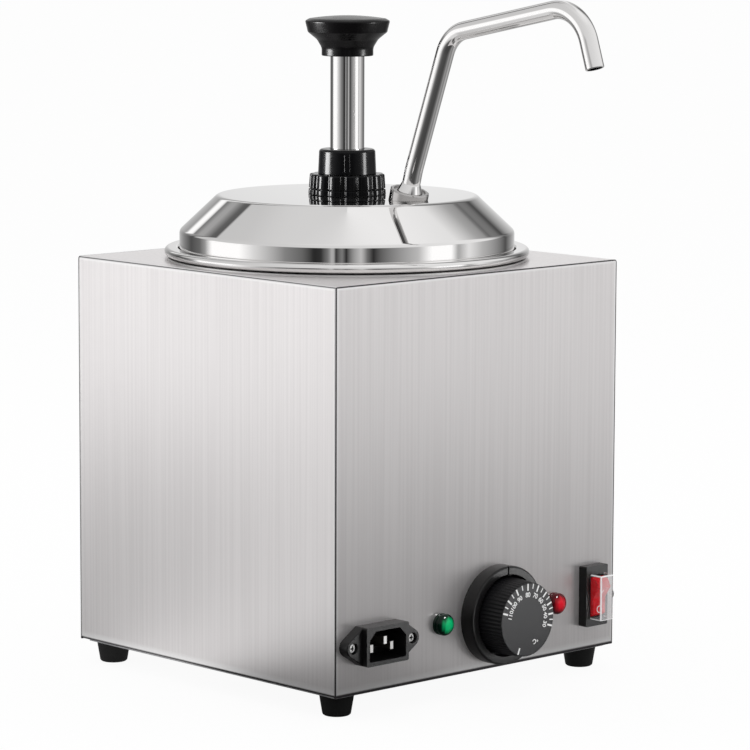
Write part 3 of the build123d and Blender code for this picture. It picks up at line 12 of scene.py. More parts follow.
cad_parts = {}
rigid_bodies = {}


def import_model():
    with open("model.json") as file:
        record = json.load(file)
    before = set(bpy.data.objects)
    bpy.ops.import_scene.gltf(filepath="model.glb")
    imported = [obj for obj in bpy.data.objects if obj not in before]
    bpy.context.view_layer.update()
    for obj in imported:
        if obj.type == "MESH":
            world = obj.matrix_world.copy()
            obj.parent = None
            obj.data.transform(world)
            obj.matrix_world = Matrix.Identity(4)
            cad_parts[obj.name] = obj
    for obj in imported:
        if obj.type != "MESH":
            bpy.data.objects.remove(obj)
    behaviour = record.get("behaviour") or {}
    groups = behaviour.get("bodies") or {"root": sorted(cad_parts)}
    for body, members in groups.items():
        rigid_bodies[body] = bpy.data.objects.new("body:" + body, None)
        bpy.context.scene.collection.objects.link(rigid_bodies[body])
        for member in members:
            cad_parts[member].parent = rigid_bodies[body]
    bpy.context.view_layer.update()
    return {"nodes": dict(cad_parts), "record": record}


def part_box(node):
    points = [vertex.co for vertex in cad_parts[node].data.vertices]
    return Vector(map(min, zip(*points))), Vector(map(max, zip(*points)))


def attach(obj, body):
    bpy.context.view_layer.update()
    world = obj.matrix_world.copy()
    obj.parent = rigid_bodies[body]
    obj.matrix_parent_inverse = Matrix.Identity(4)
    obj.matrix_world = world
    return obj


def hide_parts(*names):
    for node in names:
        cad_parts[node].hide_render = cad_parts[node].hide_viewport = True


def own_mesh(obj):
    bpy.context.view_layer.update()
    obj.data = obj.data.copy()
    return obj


MM = 0.001

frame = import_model()
nodes = frame["nodes"]

# ---- sizes that the frame doesn't state
# camera
CAMERA_PLACE = (-1361.2, -1465.6, 428.2)
CAMERA_AZIMUTH = -43.32
CAMERA_PITCH = 7.72
CAMERA_ROLL = 0.21
CAMERA_LENS = 180.9

# lid and pot
LID_GAUGE = 1.0
LID_SHOULDER = 234.9
LID_TOP_RADIUS = 68.8
LID_BENDS = (3.0, 4.0)
PUMP_HOLE_RADIUS = 14.8
POT_GAUGE = 0.8
POT_RADIUS = 80.0
POT_THROAT_RADIUS = 89.8
POT_LEDGE_GAP = 0.3
POT_CORNER = 9.0
POT_RIM_BOTTOM = 221.8
POT_RIM_CURL = 2.4
POT_RIM_BENDS = (1.9, 1.9, 1.0, 0.9, 1.2)

# pump
SEAT_GAP = 0.05
NUT_BORE = 14.55
NUT_WALL = 2.5
NUT_TAPER = 0.8
NUT_LOBES = 14
NUT_FLUTE_AZIMUTH = 195.0
NUT_FLUTE_WIDTH = 0.17
NUT_FLUTE_DEPTH = 0.9
NUT_CROWN = 0.35
NUT_BAND_HEIGHT = 2.9
NUT_BAND_GAP = 0.6
NUT_GROOVE = 1.0
NUT_SLOPE = 0.15
NUT_BENDS = (0, 0.4, 0.35, 0, 0, 0.35, 0.9, 0)
COLLAR_BORE = 9.2
COLLAR_SPIGOT = 13.1
COLLAR_TOP_RADIUS = 14.9
COLLAR_EDGE = 1.7
COLLAR_KEY_AZIMUTH = -43.0
COLLAR_KEY_WIDTH = 3.0
COLLAR_KEY_DEPTH = 1.6
COLLAR_KEY_LEVELS = (0.2, 1.6, 11.0)
COLLAR_KEY_RISE = 0.45
COLLAR_KEY_EDGE = 0.3
PLUNGER_WALL = 1.0
KNOB_NECK_RADIUS = 13.7
KNOB_NECK_HEIGHT = 4.3
KNOB_FLARE_RISE = 8.6
KNOB_FLARE_RADIUS = 16.3
KNOB_WAIST_RISE = 12.5
KNOB_WAIST_RADIUS = 21.05
KNOB_EDGE_RISE = 18.4
KNOB_LIP = (2.2, 1.2)
KNOB_BENDS = (0, 0, 0.3, 0.5, 5.0, 5.0, 0.7, 0.9, 0.6)
KNOB_SOCKET = 10.0
SPRING_WIRE = 1.6
SPRING_TURNS = 9.5
SPRING_STEPS = 48
SPRING_SIDES = 12

# spout
SPOUT_SETBACK = 46.9
SPOUT_TILT = 15.0
SPOUT_FOOT = 16.4
SPOUT_CORNERS = ((-77.6, 342.0), (-169.8, 359.88))
SPOUT_TIP = (-180.1, 328.1)
SPOUT_BENDS = (40.0, 19.0, 21.5)
SPOUT_RADIUS = 4.8
SPOUT_BORE = 3.9
FLARE_LEVELS = ((2.6, 7.9), (3.6, 7.9), (3.6, 6.6), (4.8, 6.6), (10.0, 4.6))
FLARE_BENDS = (0, 0.2, 0.2, 0.2, 1.2, 2.0, 0)
UNION_SIDES = 12
UNION_RADIUS = 10.5
UNION_BOTTOM = -3.4
UNION_TOP = 5.3
UNION_CHAMFER = 0.6
UNION_RECESS = 0.8
UNION_RIM = 1.7
UNION_MOUTH = 6.8
UNION_EDGE = 0.22

# controls and the thickness of their print
INK = 0.06
DIAL_STEPS = ((110, -73), (100, -51), (90, -27), (80, 0), (70, 25), (60, 47), (50, 68), (40, 87),
              (30, 107))
DIAL_TICK_OUTER = 18.9
DIAL_TICK = (3.6, 0.95)
DIAL_HALF_TICK = (2.6, 0.6)
DIAL_NUMBER_RADIUS = 13.0
DIAL_NUMBER_SIZE = 3.5
DIAL_NUMBER_WEIGHT = 0.020
DIAL_OFF_ANGLE = -158.0
DIAL_SIGN_ANGLE = 154.0
DIAL_FACE_RADIUS = 19.4
DIAL_HOLLOW = (6.5, 18.4, 3.0)
DIAL_SOCKET = (3.1, 1.0)
DIAL_RIBS = 60
DIAL_RIB_DEPTH = 0.45
DIAL_EDGE = 0.7
BEZEL_FLOOR = 1.6
BEZEL_RECESS = 21.4
BEZEL_EDGE = 1.1
BEZEL_NOTCH = (1.1, 0.9)
BEZEL_HOLE = 5.2

# lamp lenses
LENS_SIDE = ((0, 0), (0, 1.4), (0.6, 1.7), (0.6, 2.2), (0, 2.6))
LENS_BENDS = (0, 0, 0.3, 0.2, 0.2, 0.3)
LENS_DOME_START = 3.4
LENS_RIBS = 0.12
# share of the lens's radius over which its painted glow turns to painted shade at the rim
LENS_PAINTED_GLOW = (0.35, 0.85)

# switch
ROCKER_OUTLINE = ((4.4, 0), (7.3, 6.6), (4.5, 10.2), (1.0, 10.9), (-4.5, 6.0), (-4.5, -6.0), (1.0, -10.9),
                  (3.6, -10.6), (5.9, -8.6))
ROCKER_WIDTH = 9.4
ROCKER_PIVOT_DEPTH = 2.5
ROCKER_TILT = 10.0
ROCKER_EDGE = 0.4
ROCKER_RING = (1.5, 2.0)
ROCKER_RING_PLACE = 0.73
ROCKER_BAR = (0.55, 3.6)
ROCKER_BAR_PLACE = 0.50
COVER_WALL = 0.7
COVER_EDGE = 0.9
COVER_TAPER = 2.0
COVER_FRONT = (0.0006, 0.0012)
# width of the painted highlight along the cover's edges
COVER_PAINTED_HIGHLIGHT = (0.0005, 0.0009)

# mains inlet
SCREW_HEAD_RISE = 1.5
SCREW_SHANK_RADIUS = 1.45
SCREW_CROWN = (0.5, 0.6)
SCREW_BENDS = (0, 0.2, 0, 0.1, 0.3, 0.6, 0)
SCREW_CROSS = (0.45, 1.3)
SCREW_CROSS_DEPTH = 1.0
SCREW_SHADE_DEPTH = 0.15
PIN_END = (0.5, 0.9)

# steel
BRIGHT_STEEL = (0.80, 0.79, 0.785)
# painted shade and painted highlight along the casing's edges: widths of the dark line and of the bright
# band, in metres; the share widens the painted shade at the foot
EDGE_SEAM_AND_SHADE = (0.0005, 0.0008)
EDGE_PAINTED_HIGHLIGHT = (0.0010, 0.0022)
FOOT_PAINTED_SHADE_SHARE = 0.45

# floor and light
WHITE = (1, 1, 1)
FLOOR_REACH = (30000, 30000)
FLOOR_PAINT = (0.90, 0.90, 0.90)
FLOOR_WHITE_SHARE = 0.94
FLOOR_IN_STEEL = ((-180, 0.46), (-115, 0.36), (-92, 0.38), (-80, 0.82), (-66, 0.86), (-54, 0.36),
                  (-48, 0.14), (-20, 0.06), (25, 0.06), (46, 0.16), (60, 0.34), (74, 0.28), (84, 0.22),
                  (92, 0.42), (105, 0.55), (116, 0.42), (180, 0.46))
FLOOR_FADE = (0.05, 1.5)
FILL = (0.80, 0.80, 0.80)
STUDIO_FRONT = CAMERA_AZIMUTH
STUDIO_STRENGTH = 1.25
STUDIO_RINGS = (
    ((-180, 0.40), (-90, 0.45), (0, 0.25), (90, 0.35), (180, 0.40)),
    ((-180, 0.70), (-170, 0.45), (-150, 0.22), (-134, 0.07), (-120, 0.13), (-113, 0.30), (-105, 1.0),
     (-78, 1.0), (-66, 0.68), (-52, 0.42), (-42, 0.22), (-30, 0.13), (-22, 0.02), (-17, 0.03),
     (-12, 0.18), (-9, 0.50), (-7, 0.03), (-3, 0.20), (0, 0.02), (5, 0.30), (10, 0.50), (14, 0.16),
     (18, 0.02), (24, 0.12), (50, 0.48), (60, 1.0), (76, 1.0), (82, 0.36), (92, 0.74), (106, 0.44),
     (140, 0.07), (180, 0.70)),
    ((-180, 0.76), (-173, 0.72), (-168, 0.38), (-162, 0.38), (-158, 0.27), (-155, 0.95), (-151, 0.95),
     (-149, 0.16), (-145, 0.34), (-142, 0.34), (-139, 0.22), (-136, 0.10), (-133.4, 0.10),
     (-132.6, 0.54), (-110, 0.56), (0, 0.66), (100, 0.76), (122, 0.75), (128, 0.56), (134, 0.36),
     (139, 0.28), (141.5, 0.12), (144, 0.18), (148, 0.15), (151.5, 0.05), (154, 0.16), (157, 0.28),
     (162, 0.36), (168, 0.45), (173, 0.50), (176, 0.74), (180, 0.76)),
    ((-180, 0.62), (-90, 0.63), (0, 0.74), (90, 0.83), (180, 0.76)),
)
STUDIO_BLENDS = ((-0.6, -0.25), (0.14, 0.30), (0.76, 0.96))

# lamps: name, azimuth, elevation, distance from their target, width, height and brightness
LIGHT_TARGET = (0, 0, 0.2)
SOFTBOXES = (
    ("left_softbox", -132, 12, 1.5, 1.1, 1.5, 0.9),
    ("right_softbox", 28, 14, 1.6, 0.9, 1.4, 0.6),
    ("top_softbox", 150, 80, 1.5, 1.6, 1.4, 0.9),
)
STRIPS = (
    ("left_strip", STUDIO_FRONT - 85, 5, 1.15, 0.45, 0.6, 42.0),
    ("right_strip", STUDIO_FRONT + 75, 5, 1.15, 0.24, 0.5, 30.0),
)
STRIP_LOOKS = ("black_gloss_plastic", "press_knob")
SPARKLE = (STUDIO_FRONT + 60, 38, 1.0, 0.26, 0.26, 60.0)
SPARKLE_LOOKS = ("green_lens", "red_lens")
GLOW_PLACE = (0.16, -0.29, 0.018)
GLOW_SIZE = (0.36, 0.032)
GLOW_LEVEL = 10.5
GLOW_LOOKS = ("black_bezel", "dial", "moulded_housing")


# ---- places read from the frame
def span(node):
    """Lowest and highest corner of a CAD node, in millimetres."""
    low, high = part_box(node)
    return low / MM, high / MM


def middle(node):
    """Centre of a CAD node's box, in millimetres."""
    low, high = span(node)
    return (low + high) / 2


# ---- mesh helpers
def linked(name, data):
    """Object with its data, linked to the scene."""
    thing = bpy.data.objects.new(name, data)
    bpy.context.scene.collection.objects.link(thing)
    return thing


def placed(name, mesh, place):
    """Object made from a bmesh in millimetres."""
    bmesh.ops.recalc_face_normals(mesh, faces=mesh.faces)
    data = bpy.data.meshes.new(name)
    mesh.transform(Matrix.Scale(MM, 4) @ place)
    mesh.to_mesh(data)
    mesh.free()
    return linked(name, data)


def finished(name, mesh, body, look, slot=None, replaces=(), place=Matrix(), sharp=32.0):
    """Turns a bmesh in millimetres into a piece that rides on a body."""
    piece = placed(name, mesh, place)
    piece.data.shade_smooth()
    piece.data.set_sharp_from_angle(angle=radians(sharp))
    return dressed(piece, body, look, slot, replaces)


def dressed(piece, body, look, slot=None, replaces=()):
    """Gives a piece its look and body and hides the nodes it stands for; the slot argument is not used."""
    piece.data.materials.clear()
    piece.data.materials.append(looks[look])
    slot = slot or look
    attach(piece, body)
    if replaces:
        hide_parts(*replaces)
    return piece


def worked_out(thing):
    """Mesh of an object with its modifiers or its text worked out."""
    bpy.context.view_layer.update()
    graph = bpy.context.evaluated_depsgraph_get()
    return bpy.data.meshes.new_from_object(thing.evaluated_get(graph))


def baked(piece):
    """Applies a piece's modifiers."""
    data = worked_out(piece)
    piece.modifiers.clear()
    piece.data = data
    return piece


def rounded(corners, radii, closed=False):
    """Outline with an arc at each corner that has a radius."""
    corners = [Vector(corner) for corner in corners]
    outline = []
    for i, corner in enumerate(corners):
        radius = radii[i]
        end_point = not closed and i in (0, len(corners) - 1)
        if end_point or not radius:
            outline.append(corner)
            continue
        before = (corners[i - 1] - corner).normalized()
        after = (corners[(i + 1) % len(corners)] - corner).normalized()
        half = before.angle(after) / 2
        centre = corner + (before + after).normalized() * radius / sin(half)
        start = corner + before * radius / tan(half) - centre
        end = corner + after * radius / tan(half) - centre
        turn = start.angle(end)
        steps = max(3, round(turn / radians(5)))
        for k in range(steps + 1):
            share = k / steps
            outline.append(centre + (start * sin((1 - share) * turn) + end * sin(share * turn)) / sin(turn))
    return outline


def sheet_outline(points, bends, gauge):
    """Closed section of folded sheet from its centre line and the bend radii along that line."""
    points = [Vector(point) for point in points]
    steps = [(b - a).normalized() for a, b in zip(points, points[1:])]
    left = [Vector((-step.y, step.x)) for step in steps]
    loops = {}
    for side in (1, -1):
        reach = side * gauge / 2
        corners = [points[0] + left[0] * reach]
        radii = [0]
        for i, bend in enumerate(bends, start=1):
            mitre = (left[i - 1] + left[i]).normalized()
            corners.append(points[i] + mitre * reach / mitre.dot(left[i]))
            turn = steps[i - 1].x * steps[i].y - steps[i - 1].y * steps[i].x
            inner = (turn > 0) == (side > 0)
            radii.append(bend - gauge / 2 if inner else bend + gauge / 2)
        corners.append(points[-1] + left[-1] * reach)
        loops[side] = rounded(corners, radii + [0])
    return loops[1] + loops[-1][::-1]


def lathe_mesh(outline, steps, radius_at=None):
    """Closed outline of (radius, height) spun about Z. radius_at may change a radius by angle and height."""
    mesh = bmesh.new()
    rings = []
    for radius, height in outline:
        if radius < 1e-6:
            rings.append([mesh.verts.new((0, 0, height))] * steps)
            continue
        ring = []
        for i in range(steps):
            angle = 2 * pi * i / steps
            reach = radius_at(radius, height, angle) if radius_at else radius
            ring.append(mesh.verts.new((reach * cos(angle), reach * sin(angle), height)))
        rings.append(ring)
    return join_rings(mesh, rings + rings[:1])


def join_rings(mesh, rings, capped=False):
    """Faces between each ring of vertices and the next, and over both ends if capped."""
    for ring, following in zip(rings, rings[1:]):
        for i in range(len(ring)):
            j = (i + 1) % len(ring)
            corners = list(dict.fromkeys((ring[i], ring[j], following[j], following[i])))
            if len(corners) > 2:
                mesh.faces.new(corners)
    if capped:
        mesh.faces.new(rings[0])
        mesh.faces.new(rings[-1])
    return mesh


def pipe_mesh(route, outer, inner, lip=0.25, steps=64):
    """Bent tube with a wall, with slightly rounded ends."""
    ahead = (route[-1] - route[-2]).normalized()
    behind = (route[0] - route[1]).normalized()
    route = [route[0], route[0] - behind * lip, *route[1:-1], route[-1] - ahead * lip, route[-1]]
    mesh = bmesh.new()
    across = Vector((1, 0, 0))
    loops = []
    for i, point in enumerate(route):
        along = (route[min(i + 1, len(route) - 1)] - route[max(i - 1, 0)]).normalized()
        across = (across - along * across.dot(along)).normalized()
        loops.append((point, across, along.cross(across)))
    radii = [outer - lip] + [outer] * (len(loops) - 2) + [outer - lip]
    walls = list(zip(loops, radii)) + [(loop, inner) for loop in reversed(loops)]
    rings = []
    for (point, first, second), radius in walls:
        rings.append([mesh.verts.new(point + first * x + second * y) for x, y in circle(radius, steps)])
    return join_rings(mesh, rings + rings[:1])


def prism_mesh(outline, low, high):
    """Straight prism of an outline in X and Y."""
    mesh = bmesh.new()
    rings = [[mesh.verts.new((x, y, level)) for x, y in outline] for level in (low, high)]
    return join_rings(mesh, rings, capped=True)


def circle(radius, steps=96):
    """Points of a circle."""
    angles = [2 * pi * k / steps for k in range(steps)]
    return [(radius * cos(angle), radius * sin(angle)) for angle in angles]


def rectangle(half_x, half_y, x=0.0, y=0.0):
    """Corners of a rectangle."""
    left, right, near, far = x - half_x, x + half_x, y - half_y, y + half_y
    return [(left, near), (right, near), (right, far), (left, far)]


def cut(piece, mesh, place=Matrix()):
    """Takes a shape in millimetres away from a piece."""
    cutter = placed("cutter", mesh, place)
    trim = piece.modifiers.new("cut", "BOOLEAN")
    trim.operation = "DIFFERENCE"
    trim.solver = "EXACT"
    trim.object = cutter
    baked(piece)
    bpy.data.objects.remove(cutter)
    return piece


def eased(piece, width):
    """Rounds a piece's sharp edges."""
    bevel = piece.modifiers.new("ease", "BEVEL")
    bevel.width = width * MM
    bevel.segments = 3
    bevel.limit_method = "ANGLE"
    bevel.angle_limit = radians(35)
    bevel.harden_normals = True
    return baked(piece)


def facing_front(x, z, y):
    """Place on the front panel: local +Z points out of the panel and local +Y points up."""
    return Matrix.Translation((x, y, z)) @ Matrix.Rotation(pi / 2, 4, "X")


def on_panel(node):
    """Half width and depth of a part on the front panel, and the place at the middle of its back."""
    low, high = span(node)
    centre = middle(node)
    return (high.x - low.x) / 2, high.y - low.y, facing_front(centre.x, centre.z, high.y)


# ---- materials
casing_low = Vector((span("casing_wrap")[0].x, span("front_panel")[0].y, span("casing_wrap")[0].z))
casing_high = Vector((span("casing_wrap")[1].x, span("back_panel")[1].y, span("casing_wrap")[1].z))


def feed(made, socket, value):
    """Gives a socket a node's output or a plain value."""
    if isinstance(value, bpy.types.NodeSocket):
        made.node_tree.links.new(value, socket)
    elif socket.type == "RGBA":
        socket.default_value = (*value, 1)
    else:
        socket.default_value = value


def add(made, kind, *values, **inputs):
    """New node of a material or world, its inputs fed in order or by name, _ standing for a space."""
    node = made.node_tree.nodes.new(kind)
    for socket, value in zip(node.inputs, values):
        feed(made, socket, value)
    for name, value in inputs.items():
        feed(made, node.inputs[name.replace("_", " ")], value)
    return node


def vary(made, socket, value):
    """Feeds a socket of a material's shader."""
    feed(made, made.node_tree.nodes["Principled BSDF"].inputs[socket], value)


def material(name, colour, metallic, roughness, **sockets):
    """Principled material with its plain values set on the shader."""
    made = bpy.data.materials.new(name)
    made.use_nodes = True
    vary(made, "Base Color", colour)
    vary(made, "Metallic", metallic)
    vary(made, "Roughness", roughness)
    for socket, value in sockets.items():
        vary(made, socket.replace("_", " "), value)
    return made


def grain(made, scale, detail, stretch=(1, 1, 1), turned=False):
    """Noise in object coordinates, or in (radius, height) about the pump's axis, as a node's output."""
    source = add(made, "ShaderNodeTexCoord").outputs["Object"]
    if turned:
        across, along, up = object_axes(made)
        flat = add(made, "ShaderNodeCombineXYZ", X=across, Y=along).outputs[0]
        source = add(made, "ShaderNodeCombineXYZ", X=measure(made, "LENGTH", flat), Z=up).outputs[0]
    mapping = add(made, "ShaderNodeMapping", Scale=stretch, Vector=source)
    noise = add(made, "ShaderNodeTexNoise", Scale=scale, Detail=detail, Vector=mapping.outputs["Vector"])
    return noise.outputs["Fac"]


def spread(made, value, low, high, edges=(0.3, 0.7), soft=False):
    """Maps a value between two edges to a range, in a straight line or with soft ends."""
    mapped = add(made, "ShaderNodeMapRange", Value=value, From_Min=edges[0], From_Max=edges[1],
                 To_Min=low, To_Max=high)
    if soft:
        mapped.interpolation_type = "SMOOTHSTEP"
    return mapped.outputs["Result"]


def bump(made, value, strength, distance):
    """Bumps a material by a value."""
    node = add(made, "ShaderNodeBump", Strength=strength, Distance=distance, Height=value)
    vary(made, "Normal", node.outputs["Normal"])


def measure(made, operation, *vectors):
    """Length of a vector, or its share along a second one."""
    node = add(made, "ShaderNodeVectorMath", *vectors)
    node.operation = operation
    return node.outputs["Value"]


def compute(made, operation, *values):
    """Result of one sum on node outputs and plain numbers."""
    node = add(made, "ShaderNodeMath", *values)
    node.operation = operation
    return node.outputs[0]


def object_axes(made):
    """Object coordinates X, Y and Z, in metres."""
    place = add(made, "ShaderNodeTexCoord").outputs["Object"]
    split = add(made, "ShaderNodeSeparateXYZ", Vector=place)
    return [split.outputs[axis] for axis in "XYZ"]


def face_gaps(made, low, high):
    """Depth of a point behind the nearer of a box's two faces, along each axis, in metres."""
    gaps = []
    for value, start, end in zip(object_axes(made), low, high):
        away = compute(made, "ABSOLUTE", compute(made, "SUBTRACT", value, (start + end) / 2 * MM))
        gaps.append(compute(made, "SUBTRACT", (end - start) / 2 * MM, away))
    return gaps


def edge_gap(made, across, along, up):
    """Distance of a point on a box's surface from the nearest edge: the middle one of three gaps."""
    least = compute(made, "MINIMUM", across, along)
    most = compute(made, "MAXIMUM", across, along)
    return compute(made, "MAXIMUM", least, compute(made, "MINIMUM", most, up))


def mixed(made, share, first, second):
    """Mix of two colours, each a node output or plain numbers."""
    mix = made.node_tree.nodes.new("ShaderNodeMix")
    mix.data_type = "RGBA"
    for socket, value in (("Factor", share), ("A", first), ("B", second)):
        feed(made, mix.inputs[socket], value)
    return mix.outputs["Result"]


def brushed_steel():
    """Casing sheet with a fine upright grain, a dark line along its edges that is partly a real seam and
    partly painted shade at the bends and the foot, and a painted highlight in a bright band beside it.
    """
    made = material("brushed stainless", (0.81, 0.785, 0.785), 0.84, 0.29, Anisotropic=0.7)
    lines = grain(made, 1.0, 0, (620, 620, 6))
    cloud = grain(made, 9, 1, (1, 1, 0.5))
    brushed = mixed(made, spread(made, lines, 0, 1), (0.785, 0.76, 0.76), (0.835, 0.81, 0.81))
    across, along, up = face_gaps(made, casing_low, casing_high)
    # the dark line at the foot is painted shade under the casing, wider than at the other edges
    height = compute(made, "SUBTRACT", object_axes(made)[2], casing_low.z * MM)
    up = compute(made, "MINIMUM", up, compute(made, "MULTIPLY", height, FOOT_PAINTED_SHADE_SHARE))
    gap = edge_gap(made, across, along, up)
    # painted highlight: a near-white band beside each edge
    painted_highlight = mixed(made, spread(made, gap, 1, 0, EDGE_PAINTED_HIGHLIGHT), brushed, (0.96, 0.95, 0.95))
    # dark line: a real seam where panels meet, painted shade at the bends and at the foot
    vary(made, "Base Color", mixed(made, spread(made, gap, 0, 1, EDGE_SEAM_AND_SHADE), (0.07, 0.065, 0.07), painted_highlight))
    vary(made, "Roughness", spread(made, cloud, 0.28, 0.312))
    bump(made, lines, 0.08, 0.000012)
    vary(made, "Tangent", add(made, "ShaderNodeCombineXYZ", X=1, Y=1).outputs[0])
    return made


def polished_steel(name, colour, low, high, marks=0):
    """Bright steel between two roughnesses, with faint turning marks where it is spun."""
    made = material(name, colour, 1.0, low)
    cloud = grain(made, 30, 3)
    vary(made, "Roughness", spread(made, cloud, low, high))
    if marks:
        bump(made, grain(made, 1.0, 2, (2600, 0, 2600), turned=True), marks, 0.000001)
    return made


def clouded(name, colour, metallic, roughness, scale, detail, shine=None, tints=None, pits=None, **sockets):
    """Material with one fine noise that moves its roughness, its colour or its surface where asked."""
    made = material(name, colour, metallic, roughness, **sockets)
    cloud = grain(made, scale, detail)
    if shine:
        vary(made, "Roughness", spread(made, cloud, *shine))
    if tints:
        vary(made, "Base Color", mixed(made, spread(made, cloud, 0, 1), *tints))
    if pits:
        bump(made, cloud, *pits)
    return made


def gloss_plastic(name, colour, roughness):
    """Moulded glossy plastic with a faint unevenness."""
    shine = (roughness * 0.9, roughness * 1.2)
    return clouded(name, colour, 0.0, roughness, 220, 2, shine, Specular_IOR_Level=0.16)


def satin_plastic(name, colour, roughness):
    """Moulded plastic with a fine spark-eroded texture."""
    shine = (roughness * 0.9, roughness * 1.15)
    return clouded(name, colour, 0.0, roughness, 1800, 2, shine, pits=(0.10, 0.00003), Specular_IOR_Level=0.3)


def lens_plastic(name, node, painted_glow, painted_rim_shade):
    """Tinted lamp lens with a painted glow in its middle that turns to painted shade round its edge."""
    made = material(name, painted_glow, 0.0, 0.05, Specular_IOR_Level=0.2)
    low, high = span(node)
    across, along, up = object_axes(made)
    centre = (low + high) / 2 * MM
    radius = (high.x - low.x) / 2 * MM
    aside = compute(made, "SUBTRACT", across, centre.x)
    above = compute(made, "SUBTRACT", up, centre.z)
    squares = [compute(made, "MULTIPLY", value, value) for value in (aside, above)]
    distance = compute(made, "SQRT", compute(made, "ADD", *squares))
    # noise ribs that break up the painted glow like facets inside the lens
    reach = LENS_RIBS * radius
    ribs = spread(made, grain(made, 700, 1, (1, 1, 0.15)), -reach, reach)
    distance = compute(made, "ADD", distance, ribs)
    edge = spread(made, distance, 0, 1, [share * radius for share in LENS_PAINTED_GLOW])
    vary(made, "Base Color", mixed(made, edge, painted_glow, painted_rim_shade))
    return made


def clear_plastic():
    """Clear moulded cover, white along its edges as a painted highlight, with a faint uneven white veil on
    its front.
    """
    made = material("clear plastic", (0.99, 0.99, 1.0), 0, 0.08, Specular_IOR_Level=0.3)
    low, high = span("switch_cover")
    across, along, up = face_gaps(made, low, Vector((high.x, 2 * high.y - low.y, high.z)))
    gap = edge_gap(made, across, along, up)
    front = spread(made, along, 0.22, 0.01, COVER_FRONT)
    cloud = spread(made, grain(made, 240, 2), 0.85, 1.15)
    # opaque white along the edges: painted highlight
    edge = spread(made, gap, 0.95, 0, COVER_PAINTED_HIGHLIGHT)
    vary(made, "Alpha", compute(made, "MAXIMUM", edge, compute(made, "MULTIPLY", front, cloud)))
    return made


def warm_metal(name, dark, light):
    """Bare brass or copper."""
    return clouded(name, light, 1.0, 0.28, 350, 3, (0.22, 0.4), (dark, light))


def plated_pins():
    """Nickel plating of the inlet's pins, bright on their ends, with painted shade in near-black along their
    sides.
    """
    made = material("nickel plating", (0.93, 0.92, 0.90), 0.20, 0.30)
    cloud = spread(made, grain(made, 500, 2), 0, 1)
    bright = mixed(made, cloud, (0.90, 0.89, 0.87), (0.98, 0.97, 0.96))
    normal = add(made, "ShaderNodeNewGeometry").outputs["Normal"]
    end = spread(made, measure(made, "DOT_PRODUCT", normal, (0, -1, 0)), 0, 1, PIN_END)
    # near-black sides: painted shade inside the inlet
    vary(made, "Base Color", mixed(made, end, (0.02, 0.018, 0.015), bright))
    return made


def plain_plastic(name, colour, roughness=0.4, metallic=0.0):
    """Plain moulded plastic, insulation or pale plating."""
    shine = (roughness * 0.9, roughness * 1.15)
    return clouded(name, colour, metallic, roughness, 1200, 2, shine, pits=(0.10, 0.00003))


